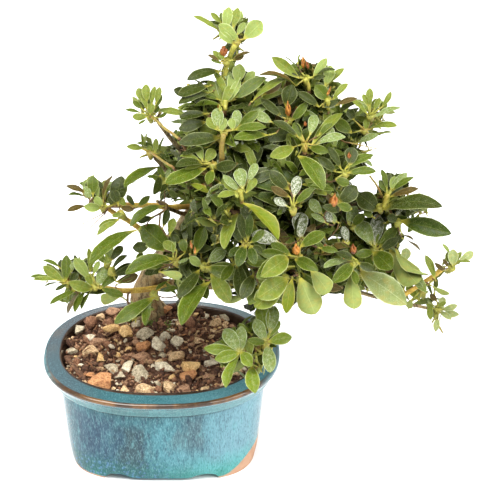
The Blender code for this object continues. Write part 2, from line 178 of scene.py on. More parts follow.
class Look:
    """A material in the making, with short ways to add nodes. Values are numbers, colours or sockets."""

    def __init__(self, name):
        self.material = bpy.data.materials.new(name)
        self.material.use_nodes = True
        self.tree = self.material.node_tree
        self.shader = self.tree.nodes["Principled BSDF"]

    def set(self, socket, value):
        if isinstance(value, bpy.types.NodeSocket):
            self.tree.links.new(value, socket)
        else:
            socket.default_value = value

    def node(self, kind, values, **settings):
        made = self.tree.nodes.new(kind)
        for key, value in settings.items():
            setattr(made, key, value)
        for key, value in values.items():
            self.set(made.inputs[key], value)
        return made

    def math(self, operation, *values):
        return self.node("ShaderNodeMath", dict(enumerate(values)), operation=operation).outputs[0]

    def times(self, first, *others):
        for other in others:
            first = self.math("MULTIPLY", first, other)
        return first

    def plus(self, first, *others):
        for other in others:
            first = self.math("ADD", first, other)
        return first

    def less(self, first, second):
        return self.math("SUBTRACT", first, second)

    def size(self, value):
        return self.math("ABSOLUTE", value)

    def place(self):
        """Object coordinates: the row frame, in metres."""
        return self.tree.nodes.new("ShaderNodeTexCoord").outputs["Object"]

    def split(self, vector):
        return self.node("ShaderNodeSeparateXYZ", {0: vector}).outputs

    def join(self, x, y, z):
        return self.node("ShaderNodeCombineXYZ", {0: x, 1: y, 2: z}).outputs[0]

    def stretch(self, vector, scale):
        return self.node("ShaderNodeMapping", {"Vector": vector, "Scale": scale}).outputs[0]

    def noise(self, vector, scale, detail=3.0, rough=0.55, warp=0.0):
        values = {"Vector": vector, "Scale": scale, "Detail": detail, "Roughness": rough, "Distortion": warp}
        return self.node("ShaderNodeTexNoise", values).outputs["Fac"]

    def cells(self, vector, scale, output="Distance"):
        return self.node("ShaderNodeTexVoronoi", {"Vector": vector, "Scale": scale}).outputs[output]

    def ramp(self, value, low, high, to_low=0.0, to_high=1.0):
        values = {0: value, 1: low, 2: high, 3: to_low, 4: to_high}
        made = self.node("ShaderNodeMapRange", values, interpolation_type="SMOOTHSTEP")
        return made.outputs[0]

    def coats(self, colour, *coats):
        """A colour under coats of others, each given as how much of it shows and its colour."""
        for share, coat in coats:
            values = {0: share, 6: linear(colour), 7: linear(coat)}
            colour = self.node("ShaderNodeMix", values, data_type="RGBA").outputs[2]
        return colour

    def bump(self, height, strength, distance):
        values = {"Height": height, "Strength": strength, "Distance": distance}
        return self.node("ShaderNodeBump", values).outputs[0]

    def finish(self, **values):
        for key, value in values.items():
            self.set(self.shader.inputs[key.replace("_", " ")], value)
        return self.material


TILES_ACROSS = 5
TILES_UP = 3

# Leaf faces: tile, colours of the blade's middle and edge, of its veins and of its fine hairs, whose pale
# colour is partly painted sheen, how far these cover it, how far blotches change it, and its roughness.
LEAF_LOOKS = {
    "n": (0, (116, 132, 62), (140, 154, 84), (160, 174, 106), (200, 208, 164), 0.4, 0.5, 0.4),
    "l": (1, (96, 110, 34), (116, 126, 48), (140, 148, 74), (190, 196, 144), 0.45, 0.5, 0.34),
    "p": (2, (96, 114, 48), (116, 132, 66), (146, 158, 94), (208, 214, 182), 0.8, 0.5, 0.36),
    "m": (3, (66, 82, 16), (90, 102, 26), (116, 126, 46), (178, 184, 126), 0.4, 0.55, 0.26),
    "d": (4, (42, 52, 11), (60, 70, 18), (84, 94, 36), (158, 164, 116), 0.45, 0.6, 0.27),
    "o": (5, (68, 58, 22), (90, 76, 30), (116, 100, 46), (170, 158, 114), 0.4, 0.6, 0.32),
    "y": (6, (92, 106, 22), (124, 120, 34), (144, 138, 58), (178, 172, 108), 0.25, 0.7, 0.32),
    "w": (7, (76, 90, 42), (86, 96, 46), (128, 136, 88), (244, 244, 232), 1.15, 0.5, 0.36),
    "e": (8, (48, 64, 14), (66, 80, 20), (94, 104, 40), (168, 174, 120), 0.4, 0.55, 0.23),
    "g": (9, (56, 66, 28), (70, 80, 36), (96, 104, 52), (194, 198, 164), 0.7, 0.5, 0.32),
    "u": (10, (124, 136, 72), (112, 122, 60), (150, 160, 94), (180, 188, 132), 0.3, 0.45, 0.5),
    "v": (11, (90, 102, 40), (82, 92, 35), (116, 126, 60), (146, 154, 96), 0.25, 0.45, 0.5),
    # b: the lightest tint, for the tips on the right: their own pale colour, and partly painted light for the
    # brighter light there.
    "b": (12, (132, 144, 86), (156, 166, 110), (176, 186, 132), (218, 224, 188), 0.55, 0.5, 0.4),
    "f": (13, (96, 114, 28), (124, 138, 50), (140, 148, 78), (198, 206, 162), 0.5, 0.5, 0.28),
}
UNDERSIDES = {"n": "u", "l": "u", "p": "u", "y": "u", "w": "u", "b": "u"}


# What blotches do to the colour of a blade, the yellow at a leaf's foot, and where its skin's noise is read:
# steps across, along, and between tiles.
DARK_BLOTCH = (0.62, 0.62, 0.62)
WARM_BLOTCH = (1.35, 0.97, 0.8)
LEAF_FOOT = (166, 156, 58)
SKIN_STEPS = (5.0, 24.0, 7.3)
SIDE_VEINS = 9.0
VEIN_SLANT = -1.7


def leaf_look(name, tile, middle, edge, vein, hair_sheen_colour, hair_sheen_share, blotches, roughness):
    """One face of the leaves of a tint, drawn along and across the leaf: along runs 0 to 1 from its foot to
    its tip, and across runs -1 to 1 from edge to edge."""
    look = Look("leaf_" + name)
    uv = look.tree.nodes.new("ShaderNodeUVMap")
    uv.uv_map = "OFBake"
    u, v, _ = look.split(uv.outputs[0])
    along = look.less(look.times(v, TILES_UP), tile // TILES_ACROSS)
    across = look.times(look.less(look.times(u, TILES_ACROSS), tile % TILES_ACROSS + 0.5), 2.0)
    off = look.size(across)
    skin = look.join(look.times(across, SKIN_STEPS[0]), look.times(along, SKIN_STEPS[1]),
                     tile * SKIN_STEPS[2])
    speck = look.noise(skin, 3.4, 3.0, 0.65)
    midrib = look.ramp(off, 0.05, 0.0)
    slant = look.plus(look.times(along, SIDE_VEINS), look.times(off, VEIN_SLANT))
    side_veins = look.times(look.ramp(look.math("PINGPONG", slant, 0.5), 0.09, 0.0),
                            look.ramp(off, 0.95, 0.3))
    hair_sheen_specks = look.ramp(speck, 0.58 - 0.14 * hair_sheen_share, 0.72 - 0.06 * hair_sheen_share)
    patches = look.times(look.ramp(look.noise(skin, 0.45, 2.0), 0.4, 0.62, 0.15, 1.0),
                         look.ramp(off, 1.0, 0.3, 0.35, 1.0))
    fringe_and_sheen = look.times(look.ramp(off, 0.82, 0.95), look.ramp(speck, 0.36, 0.62, 0.15, 0.95))
    colour = look.coats(
        middle,
        (look.ramp(off, 0.55, 1.0), edge),
        (look.ramp(look.noise(skin, 0.32, 3.0, 0.6), 0.42, 0.72, 0.0, blotches), scaled(middle, DARK_BLOTCH)),
        (look.ramp(look.noise(skin, 0.36, 2.0), 0.48, 0.7, 0.0, 0.6), scaled(middle, WARM_BLOTCH)),
        (look.times(side_veins, 0.24), vein),
        (look.times(midrib, 0.65), vein),
        (look.ramp(along, 0.24, 0.03, 0.0, 0.85), LEAF_FOOT),
        # Fine hairs in patches and as a fringe along the edge: real hairs, whose whiteness is partly painted
        # sheen.
        (look.times(hair_sheen_specks, patches, hair_sheen_share), hair_sheen_colour),
        (fringe_and_sheen, hair_sheen_colour),
    )
    height = look.less(look.plus(look.times(side_veins, -0.5), look.times(speck, 0.5)), midrib)
    return look.finish(
        Base_Color=colour,
        Roughness=look.ramp(speck, 0.3, 0.8, roughness - 0.06, roughness + 0.14),
        Specular_IOR_Level=0.14,
        Normal=look.bump(height, 0.4, 0.0004),
    )


LEAF_MATERIALS = [leaf_look(name, *values) for name, values in LEAF_LOOKS.items()]
LEAF_INDEX = {name: number for number, name in enumerate(LEAF_LOOKS)}
LEAF_TILE = {name: values[0] for name, values in LEAF_LOOKS.items()}


def bark_look():
    look = Look("bark")
    place = look.place()
    plates = look.noise(look.stretch(place, (1.0, 1.0, 0.35)), 420.0, 6.0, 0.62, 0.4)
    fine = look.noise(place, 1800.0, 3.0, 0.6)
    colour = look.coats(
        (76, 60, 36),
        (look.ramp(plates, 0.36, 0.64), (158, 138, 94)),
        (look.ramp(look.noise(place, 90.0, 4.0, 0.6), 0.5, 0.66, 0.0, 0.6), (140, 102, 58)),
        (look.ramp(fine, 0.5, 0.72, 0.0, 0.6), (196, 184, 138)),
    )
    normal = look.bump(look.plus(plates, look.times(fine, 0.3)), 0.8, 0.0012)
    return look.finish(Base_Color=colour, Roughness=look.ramp(plates, 0.3, 0.7, 0.95, 0.75), Normal=normal)


def twig_look(name, dark, light, tip, roughness):
    look = Look(name)
    grain = look.noise(look.place(), 700.0, 4.0, 0.6)
    patches = look.noise(look.place(), 120.0, 2.0)
    colour = look.coats(dark, (look.ramp(grain, 0.35, 0.68), light),
                        (look.ramp(patches, 0.45, 0.7, 0.0, 0.7), tip))
    return look.finish(Base_Color=colour, Roughness=look.ramp(grain, 0.3, 0.7, roughness, roughness + 0.15),
                       Normal=look.bump(grain, 0.5, 0.0005))


# Painted shade in the pits of a crumb or a stone: what it does to the dark colour.
PIT_SHADE = (0.35, 0.35, 0.35)


def crumb_look(name, dark, light, scale=900.0, roughness=0.9, spots=None):
    look = Look(name)
    grain = look.noise(look.place(), scale, 5.0, 0.65)
    fine = look.noise(look.place(), scale * 4, 3.0, 0.6)
    # The light grain, then painted shade in the pits, where the bump sinks.
    coats = [(look.ramp(grain, 0.35, 0.68), light),
             (look.ramp(fine, 0.46, 0.34, 0.0, 0.6), scaled(dark, PIT_SHADE))]
    if spots:
        coats.append((look.ramp(fine, 0.54, 0.64, 0.0, 0.8), spots))
    return look.finish(
        Base_Color=look.coats(dark, *coats),
        Roughness=look.ramp(fine, 0.3, 0.7, roughness, roughness - 0.12),
        Normal=look.bump(look.plus(grain, look.times(fine, 0.4)), 0.8, 0.001),
    )


class Glaze(Look):
    """Mottled teal-blue glaze: fine streaks run down the wall between broad clouds, it breaks to brown along
    the rim's edge, pools green near the foot, and leaves the right-hand foot bare. Places are in metres from
    the middle of the pot's foot."""

    def __init__(self):
        super().__init__("glaze")
        middle = self.join(*(float(c) for c in POT_MIDDLE * MM))
        terms = {0: self.place(), 1: middle}
        local = self.node("ShaderNodeVectorMath", terms, operation="SUBTRACT").outputs[0]
        self.x, self.y, self.z = self.split(local)
        self.broad = self.noise(self.stretch(local, (1.0, 1.0, 0.4)), 60.0, 4.0, 0.6, 0.3)
        self.streaks = self.noise(self.stretch(local, (1.0, 1.0, 0.22)), 420.0, 4.0, 0.66, 0.3)
        self.fine = self.noise(self.stretch(local, (1.0, 1.0, 0.24)), 1700.0, 3.0, 0.7)
        self.cloud = self.noise(local, 60.0, 5.0, 0.6)
        self.dots = self.cells(local, 380.0)
        self.edge = self.noise(local, 300.0, 3.0)

    def patch(self, at, wide, low, high, strength):
        """A soft upright patch of the wall, at and wide along x."""
        ragged = self.plus(self.x, self.times(self.less(self.broad, 0.5), 0.05))
        across = self.ramp(self.size(self.less(ragged, at)), wide, wide * 0.3)
        upright = self.ramp(self.z, low - 0.008, low + 0.004), self.ramp(self.z, high + 0.006, high - 0.006)
        return self.times(across, *upright, strength)

    def band(self, low, high, fade, strength):
        """A level band round the pot, fading in over its lower edge and out over its upper one."""
        over = self.ramp(self.z, low, low + fade[0])
        under = self.ramp(self.z, high, high - fade[1])
        return self.times(over, under, strength)

    def wall(self):
        low = self.ramp(self.plus(self.z, self.times(self.cloud, 0.02)), 0.034, 0.016)
        sides = self.ramp(self.size(self.x), 0.004, 0.040, 0.65, 1.0)
        dotted = self.times(self.ramp(self.dots, 0.42, 0.26), self.ramp(self.x, 0.02, -0.01))
        pool = self.coats(
            (24, 82, 82),
            (self.ramp(self.x, -0.02, 0.04), (78, 158, 156)),
            (self.ramp(self.cloud, 0.45, 0.65, 0.0, 0.7), (26, 122, 104)),
            (dotted, (70, 114, 150)),
        )
        leftward = self.ramp(self.x, 0.05, 0.0, 0.25, 0.6)
        return self.coats(
            (46, 92, 102),
            (self.ramp(self.broad, 0.38, 0.62), (74, 128, 138)),
            (self.ramp(self.x, 0.004, 0.056), (108, 148, 160)),
            (self.patch(-0.044, 0.022, 0.014, 0.052, 0.75), (36, 56, 82)),
            (self.patch(-0.019, 0.015, 0.010, 0.046, 0.8), (44, 56, 62)),
            (self.patch(0.018, 0.008, 0.030, 0.054, 0.6), (70, 84, 90)),
            (self.times(self.ramp(self.streaks, 0.5, 0.68), leftward), (26, 48, 72)),
            (self.ramp(self.streaks, 0.48, 0.32, 0.0, 0.5), (96, 150, 156)),
            (self.times(low, sides, 0.9), pool),
            (self.ramp(self.fine, 0.5, 0.68, 0.0, 0.42), (128, 172, 178)),
            (self.ramp(self.fine, 0.49, 0.32, 0.0, 0.55), (18, 46, 62)),
            (self.band(0.0572, 0.0690, (0.0012, 0.0018), 0.45), (70, 118, 114)),
            # Painted shade: a dark band just under the step where the collar stands out over the wall.
            (self.band(0.0542, 0.0586, (0.0026, 0.0014), 0.8), (40, 42, 34)),
        )

    def rim(self, wall):
        """The wall's colour with the lip's top, the wall inside it in painted shade, and the brown bead along
        its edge.
        """
        powers = [self.math("POWER", self.size(self.math("DIVIDE", place, half * MM)), RIM_POWER)
                  for place, half in ((self.x, POT_LENGTH / 2), (self.y, POT_WIDTH / 2))]
        reach = self.plus(*powers)
        clouds = self.times(self.ramp(self.cloud, 0.46, 0.66, 0.0, 0.6), self.ramp(self.y, -0.02, 0.03))
        top = self.coats(
            (78, 82, 86),
            (self.ramp(self.y, 0.030, -0.020), (46, 88, 94)),
            (self.ramp(self.x, -0.02, -0.06, 0.0, 0.7), (66, 74, 80)),
            (self.ramp(self.x, -0.01, 0.045, 0.0, 0.6), (84, 128, 136)),
            (self.ramp(self.fine, 0.5, 0.7, 0.0, 0.5), (110, 150, 160)),
            (self.ramp(self.fine, 0.48, 0.34, 0.0, 0.5), (24, 56, 66)),
            (clouds, (92, 88, 80)),
        )
        # Painted shade: the wall inside the lip, above the soil, is coloured dark brown for the shadow that
        # lies on it.
        inside = self.coats((46, 34, 26), (self.ramp(self.cloud, 0.4, 0.6), (72, 56, 46)))
        brown = self.coats((58, 36, 14), (self.ramp(self.cloud, 0.4, 0.62), (112, 76, 36)))
        bead = self.times(
            self.ramp(self.plus(reach, self.times(self.edge, 0.02)), 0.925, 0.95),
            self.ramp(self.z, 0.0680, 0.0692),
            self.ramp(self.y, 0.034, 0.0, 0.12, 0.95),
            self.ramp(self.x, 0.060, 0.070, 1.0, 0.3),
            self.ramp(self.x, -0.075, -0.058, 0.25, 1.0),
        )
        return self.coats(
            wall,
            (self.times(self.ramp(reach, 0.965, 0.93), self.ramp(self.z, 0.0700, 0.0706)), top),
            (self.times(self.ramp(reach, 0.725, 0.70), self.ramp(self.z, 0.0590, 0.0598)), inside),
            (bead, brown),
        )

    def made(self):
        lifted = self.ramp(self.x, 0.038, 0.064, 0.0, 0.014)
        line = self.plus(lifted, 0.0006, self.times(self.edge, 0.0016))
        bare = self.ramp(self.less(self.z, line), 0.0008, -0.0008)
        clay = self.coats((170, 128, 100), (self.ramp(self.cloud, 0.35, 0.65), (192, 154, 126)))
        height = self.plus(self.times(self.cloud, 0.7), self.times(self.fine, 0.08))
        return self.finish(
            Base_Color=self.coats(self.rim(self.wall()), (bare, clay)),
            Roughness=self.ramp(bare, 0.0, 1.0, self.ramp(self.fine, 0.3, 0.75, 0.08, 0.2), 0.85),
            Specular_IOR_Level=0.22,
            Coat_Weight=self.ramp(self.z, 0.064, 0.069, 0.06, 0.6),
            Coat_Roughness=0.05,
            Normal=self.bump(height, 0.25, 0.0015),
        )


def floor_look():
    look = Look("floor")
    grain = look.ramp(look.noise(look.place(), 8.0, 2.0), 0.3, 0.7)
    colour = look.coats((0.9, 0.9, 0.9, 1.0), (grain, (0.93, 0.93, 0.93, 1.0)))
    return look.finish(Base_Color=colour, Roughness=0.9, Specular_IOR_Level=0.1)


# ---------------------------------------------------------------- pot

POT_LENGTH = 152.0
POT_WIDTH = 121.0
RIM_POWER = 2.3
# Each ring of the pot's skin: distance in from the rim, height, power of its oval.
POT_SKIN = (
    (24.0, 9.0, 3.0), (22.5, 0.6, 3.0), (21.9, 0.0, 3.0), (16.4, 0.0, 3.2), (15.6, 0.6, 3.2),
    (14.8, 4.0, 3.1), (13.4, 13.0, 2.9), (11.9, 27.0, 2.65), (10.8, 40.0, 2.5), (10.0, 48.0, 2.4),
    (9.4, 54.4, 2.33), (9.2, 56.6, 2.3), (8.2, 57.6, 2.3), (6.2, 58.2, 2.3), (4.8, 59.8, 2.3),
    (3.4, 63.6, 2.3), (1.6, 66.6, 2.3), (0.5, 68.0, 2.3), (0.0, 69.3, 2.3), (0.3, 70.5, 2.3),
    (1.2, 71.2, 2.3), (2.4, 71.4, 2.3), (5.0, 72.2, 2.3), (8.6, 73.3, 2.3), (10.2, 73.6, 2.3),
    (11.2, 72.8, 2.3), (12.0, 69.0, 2.3), (13.4, 60.0, 2.3), (14.6, 40.0, 2.3), (15.2, 26.0, 2.3),
    (17.5, 16.5, 2.3), (20.0, 14.2, 2.3), (24.0, 14.0, 2.3),
)
POT_SIDES = 168
RINGS_BETWEEN = 3
SHARP_EDGE = math.radians(38)
BAR_REACH = 120.0
# Half the outline of the arches through the long and the short walls: distance from their middle, height.
LONG_ARCH = ((0.0, 2.6), (17.0, 2.6), (22.0, 4.4), (28.0, 5.6), (34.0, 4.2), (37.4, 0.0), (38.5, -2.0))
SHORT_ARCH = ((0.0, 6.6), (14.0, 6.6), (19.0, 4.6), (21.8, 0.0), (23.0, -2.0))


def smooth_line(points, between):
    """A Catmull-Rom line through the points, with so many steps between each two."""
    given = np.array(points, float)
    padded = np.vstack([2 * given[0] - given[1], given, 2 * given[-1] - given[-2]])
    line = []
    for a, b, c, d in zip(padded, padded[1:], padded[2:], padded[3:]):
        powers = 2 * b, c - a, 2 * a - 5 * b + 4 * c - d, 3 * b - a - 3 * c + d
        for t in np.arange(between) / between:
            line.append(0.5 * sum(power * t**k for k, power in enumerate(powers)))
    return np.array([*line, given[-1]])


def oval(inset, power, sides):
    """Corners of an oval that lies so far in from the rim. A higher power gives it squarer corners."""
    angle = 2 * math.pi * np.arange(sides) / sides
    c, s = np.cos(angle), np.sin(angle)
    x = (POT_LENGTH / 2 - inset) * np.sign(c) * np.abs(c) ** (2 / power)
    y = (POT_WIDTH / 2 - inset) * np.sign(s) * np.abs(s) ** (2 / power)
    return np.stack([x, y], 1)


def arch_bar(name, half_profile, along_x):
    """A bar with the outline of the arches between two feet, through both walls."""
    half = smooth_line(half_profile[:-1], 4)
    half = np.vstack([half, half_profile[-1]])
    profile = np.vstack([half[::-1] * [-1, 1], half[1:]])
    shape = bmesh.new()
    ends = []
    for reach in (-BAR_REACH, BAR_REACH):
        points = [(reach, p, z) if along_x else (p, reach, z) for p, z in profile]
        ends.append([shape.verts.new(Vector(to_row(point))) for point in points])
    for i in range(len(profile)):
        j = (i + 1) % len(profile)
        shape.faces.new((ends[0][i], ends[0][j], ends[1][j], ends[1][i]))
    shape.faces.new(ends[0])
    shape.faces.new(ends[1])
    bmesh.ops.recalc_face_normals(shape, faces=shape.faces)
    mesh = bpy.data.meshes.new(name)
    shape.to_mesh(mesh)
    shape.free()
    bar = bpy.data.objects.new(name, mesh)
    bpy.context.scene.collection.objects.link(bar)
    return bar


def make_pot():
    rings = smooth_line(POT_SKIN, RINGS_BETWEEN)
    rings[:, 1] = np.maximum(rings[:, 1], 0.0)
    points = [np.column_stack([oval(inset, power, POT_SIDES), np.full(POT_SIDES, z)])
              for inset, z, power in rings]
    build = Builder()
    build.add(np.vstack(points), grid_faces(len(rings), POT_SIDES, closed=True))
    pot = build.piece("glazed_pot", [Glaze().made()], "glaze", ["pot"])
    shape = bmesh.new()
    shape.from_mesh(pot.data)
    shape.verts.ensure_lookup_table()
    for ring in (shape.verts[:POT_SIDES], shape.verts[-POT_SIDES:]):
        shape.faces.new(ring).smooth = True
    bmesh.ops.recalc_face_normals(shape, faces=shape.faces)
    shape.to_mesh(pot.data)
    shape.free()
    bars = [arch_bar("arches_long", LONG_ARCH, False), arch_bar("arches_short", SHORT_ARCH, True)]
    for bar in bars:
        cut = pot.modifiers.new(bar.name, "BOOLEAN")
        cut.operation = "DIFFERENCE"
        cut.solver = "MANIFOLD"
        cut.object = bar
    bpy.context.view_layer.update()
    cut_mesh = bpy.data.meshes.new_from_object(pot.evaluated_get(bpy.context.evaluated_depsgraph_get()))
    pot.modifiers.clear()
    pot.data = cut_mesh
    pot.data.set_sharp_from_angle(angle=SHARP_EDGE)
    for bar in bars:
        bpy.data.objects.remove(bar)


# ---------------------------------------------------------------- soil

TRUNK_FOOT = np.array([-10.5, 37.0])
SOIL_HALF = (63.0, 47.6)
# Heights: at the trunk, at the front edge, how much higher the back edge is, and the dip of its right half.
SOIL_PEAK = 75.5
SOIL_EDGE = 63.2
BACK_RISE = 12.0
RIGHT_DIP = 5.5
DIP_START, DIP_RUN = 4.0, 26.0
TRUNK_CLEAR = 11.0
HALVINGS = 14
# The soil's surface: columns and rows of its grid, its gap to the wall, and how far its edge hangs down.
GROUND_GRID = (128, 100)
GROUND_INSET = 0.6
SKIRT = 8.0


def inside_soil(x, y, margin=0.0):
    return sum((abs(p) / (half - margin)) ** RIM_POWER for p, half in zip((x, y), SOIL_HALF)) < 1


def soil_height(x, y):
    """Height of the soil: low inside the front rim, heaped up to the trunk at the back."""
    from_foot = np.array([x, y]) - TRUNK_FOOT
    far = math.hypot(*from_foot)
    towards = from_foot / max(far, 1e-6)
    low, high = 0.0, 160.0
    for _ in range(HALVINGS):
        reach = (low + high) / 2
        low, high = (reach, high) if inside_soil(*(TRUNK_FOOT + towards * reach)) else (low, reach)
    edge_x, edge_y = TRUNK_FOOT + towards * low
    back = edge_y / SOIL_HALF[1]
    rightward = min(1.0, max(0.0, (edge_x - DIP_START) / DIP_RUN))
    edge = SOIL_EDGE + BACK_RISE * ((1 + back) / 2) ** 2 - RIGHT_DIP * rightward * max(0.0, back)
    share = min(1.0, max(0.0, (far - TRUNK_CLEAR) / max(low - TRUNK_CLEAR, 1.0)))
    return SOIL_PEAK + (edge - SOIL_PEAK) * share


def on_ground(x, y, above):
    return np.array([x, y, soil_height(x, y) + above])


def ball(rounds):
    shape = bmesh.new()
    bmesh.ops.create_icosphere(shape, subdivisions=rounds, radius=1.0)
    points = np.array([v.co for v in shape.verts])
    faces = np.array([[v.index for v in f.verts] for f in shape.faces])
    shape.free()
    return points, faces


def turned(points, random):
    """Points turned any way round."""
    w, x, y, z = unit(random.normal(size=4))
    turn = np.array([
        [1 - 2 * (y * y + z * z), 2 * (x * y - z * w), 2 * (x * z + y * w)],
        [2 * (x * y + z * w), 1 - 2 * (x * x + z * z), 2 * (y * z - x * w)],
        [2 * (x * z - y * w), 2 * (y * z + x * w), 1 - 2 * (x * x + y * y)],
    ])
    return points @ turn.T


# How far from a ball's middle a cut lies, of its radius, and how flat the cut is.
CUT_DEPTH = (0.38, 0.7)
CUT_FLATNESS = 0.96


def chipped(points, cuts, random):
    """A ball's points pressed onto a few flat faces, so that it looks broken."""
    points = points.copy()
    for _ in range(cuts):
        face = unit(random.normal(size=3))
        over = points @ face - random.uniform(*CUT_DEPTH)
        points -= np.outer(np.maximum(over, 0), face) * CUT_FLATNESS
    return points


# How much of a stone's height its middle stands over the soil, how close two stones may lie as a share of
# their sizes, and how far any lies from the trunk.
STONE_LIFT = 0.5
STONE_GAP = 0.85
TRUNK_GAP = 13.0
# Colours of the stones: dark, light and spots, and how large a share of the loose ones has them.
SOIL_STONES = {
    "tan": ((168, 132, 92), (244, 208, 158), (250, 226, 184), 0.32),
    "ochre": ((196, 148, 86), (248, 208, 144), (244, 224, 170), 0.14),
    "grey": ((146, 132, 106), (220, 204, 172), (226, 217, 189), 0.14),
    "pale": ((196, 176, 140), (252, 240, 212), (244, 244, 228), 0.16),
    "orange": ((158, 100, 60), (216, 156, 102), (237, 186, 134), 0.04),
    "brown": ((124, 88, 64), (194, 150, 114), (206, 165, 128), 0.2),
}
# Crumbs and bark chips: dark and light, and for the crumbs how large a share has them.
CRUMBS = {
    "dark": ((52, 31, 19), (112, 74, 52), 0.56),
    "brown": ((110, 72, 50), (174, 126, 92), 0.3),
    "red": ((132, 92, 66), (208, 165, 127), 0.14),
}
CRUMB_TRIES = 3600
LOOSE_STONE_TRIES = 2600
LOOSE_STONE_SIZES = {0.9: 0.2, 1.5: 0.32, 2.3: 0.3, 3.1: 0.18}
FIBRE_TRIES = 220
# Patches of moss: middle, spread and number of cushions.
MOSS = (((-9, 27), 4.5, 170), ((2, 22), 4.0, 90), ((-22, 30), 3.5, 40))
# How much wider and deeper than in the picture a seen stone is, since soil hides its foot.
SEEN_WIDER, SEEN_DEEPER = 1.12, 1.4
# Stones that stand out: pixel, half width and half height in pixels, colour.
SEEN_STONES = (
    (115, 311, 7.5, 5.5, "brown"), (111, 329, 9, 6.5, "ochre"), (127, 331, 7, 6, "ochre"),
    (79, 329, 5.5, 5, "grey"), (91, 337, 5.5, 4, "pale"), (89, 350, 9, 5.5, "tan"),
    (101, 357, 5, 6, "ochre"), (72, 350, 6, 4, "grey"), (147, 332, 9, 7, "grey"), (159, 344, 7, 6, "pale"),
    (176, 340, 7, 5, "pale"), (145, 345, 8, 6, "orange"), (199, 340, 7.5, 5, "tan"),
    (216, 322, 6, 4.5, "tan"), (226, 316, 6, 3.5, "pale"), (166, 367, 10, 5, "pale"),
    (142, 356, 9, 6, "brown"), (175, 355, 9, 6.5, "tan"), (191, 365, 9.5, 6.5, "ochre"),
    (209, 361, 8, 5.5, "pale"), (112, 367, 7, 5, "grey"), (127, 366, 5.5, 7, "pale"),
    (121, 375, 6, 4.5, "grey"), (141, 373, 8, 6.5, "grey"), (101, 381, 13, 7.5, "orange"),
    (91, 375, 4, 4, "orange"), (187, 376, 9, 6, "orange"), (143, 387, 11, 7, "tan"),
    (124, 390, 5, 4.5, "tan"), (185, 389, 8, 5.5, "brown"), (169, 386, 7, 5.5, "tan"),
    (236, 372, 6, 5.5, "tan"), (212, 350, 5, 3.5, "tan"), (162, 355, 4, 4, "grey"),
    (100, 317, 5, 3.5, "tan"), (228, 331, 5, 3, "brown"), (239, 340, 5, 3.5, "tan"), (161, 361, 6, 3, "tan"),
    (208, 376, 6, 5, "brown"), (223, 385, 5, 4, "tan"), (164, 311, 8, 5.5, "orange"),
    (154, 394, 5, 3, "grey"), (204, 389, 5, 4, "tan"), (243, 354, 5, 4, "tan"), (68, 340, 4, 3, "tan"),
    (129, 349, 3.5, 3.5, "ochre"), (92, 318, 5, 3.5, "brown"), (98, 341, 8, 4, "brown"),
    (212, 336, 4, 3, "tan"), (222, 342, 5, 3, "ochre"),
)
# Pieces of bark lying on the soil: the pixels of both ends and the half width in pixels.
SEEN_STICKS = ((67, 359, 85, 383, 3.2), (84, 366, 104, 366, 2.6), (202, 387, 217, 371, 3.0))


def on_soil(u, v):
    """The point of the soil seen at a pixel."""
    ray, height = pixel_ray(u, v), 70.0
    for _ in range(6):
        place = CAMERA_PLACE + ray * (height - CAMERA_PLACE[2]) / ray[2]
        height = soil_height(place[0], place[1])
    return place


def make_ground():
    columns, rows = GROUND_GRID
    xs, ys = np.meshgrid(np.linspace(-1, 1, columns), np.linspace(-1, 1, rows))
    reach = np.maximum(np.abs(xs), np.abs(ys))
    angle = np.arctan2(ys, xs)
    c, s = np.cos(angle), np.sin(angle)
    wide, deep = (half - GROUND_INSET for half in SOIL_HALF)
    x = wide * reach * np.sign(c) * np.abs(c) ** (2 / RIM_POWER)
    y = deep * reach * np.sign(s) * np.abs(s) ** (2 / RIM_POWER)
    points = []
    for px, py, r in zip(x.ravel(), y.ravel(), reach.ravel()):
        lumps = 0.9 * jitter((px, py, 0), 6.0, 3.0) + 0.7 * jitter((px, py, 0), 2.2, 5.0) - 0.4
        points.append(on_ground(px, py, lumps - (SKIRT if r > 0.995 else 0.0)))
    build = Builder()
    build.add(points, grid_faces(rows, columns))
    peat = crumb_look("peat", (52, 31, 19), (116, 78, 54), 600.0, 0.95, (166, 124, 92))
    build.piece("soil_ground", [peat], "soil", ["soil"])


def make_crumbs(random):
    points, faces = ball(1)
    build = Builder()
    shares = [share for _, _, share in CRUMBS.values()]
    for _ in range(CRUMB_TRIES):
        x, y = random.uniform(-63, 63), random.uniform(-48, 48)
        if not inside_soil(x, y, 1.0):
            continue
        size = random.lognormal(0.0, 0.45)
        lump = turned(chipped(points, 3, random) * random.uniform(0.55, 1.35, 3), random) * size
        build.add(lump + on_ground(x, y, random.uniform(-0.3, 0.9) * size), faces, random.choice(3, p=shares))
    looks = [crumb_look("crumb_" + name, *tones[:2]) for name, tones in CRUMBS.items()]
    build.piece("soil_crumbs", looks, "soil")


class Stones(Builder):
    """Broken stones on the soil, and where they lie."""

    def __init__(self, random):
        super().__init__()
        self.random = random
        self.laid = []

    def lay(self, x, y, wide, deep, kind, shape, seen=False):
        """One stone, wide and deep being its half sizes along x and y. A seen one is moved so that it shows
        at its pixel though it stands up from the soil."""
        tall = min(wide, deep) * self.random.uniform(0.6, 0.85)
        if seen:
            y -= STONE_LIFT * tall / math.tan(CAMERA_DOWN)
        points, faces = shape
        lump = chipped(points, 10, self.random)
        lump = lump / np.abs(lump).max(0)
        rough = [[0.1 * jitter(p, 0.9, 1.0) + 0.06 * jitter(p, 0.4, 2.0)] for p in lump + [x, y, 0]]
        lump = lump * (1 + np.array(rough)) * [wide, deep, tall]
        lean = self.random.normal(0, 0.16, 2)
        lump[:, 2] += lump[:, 0] * lean[0] + lump[:, 1] * lean[1]
        self.add(lump + on_ground(x, y, STONE_LIFT * tall), faces, kind)
        self.laid.append((x, y, (wide + deep) / 2))

    def room(self, x, y, size):
        if any(math.hypot(x - a, y - b) < STONE_GAP * (size + r) for a, b, r in self.laid):
            return False
        return math.hypot(x - TRUNK_FOOT[0], y - TRUNK_FOOT[1]) >= TRUNK_GAP + size


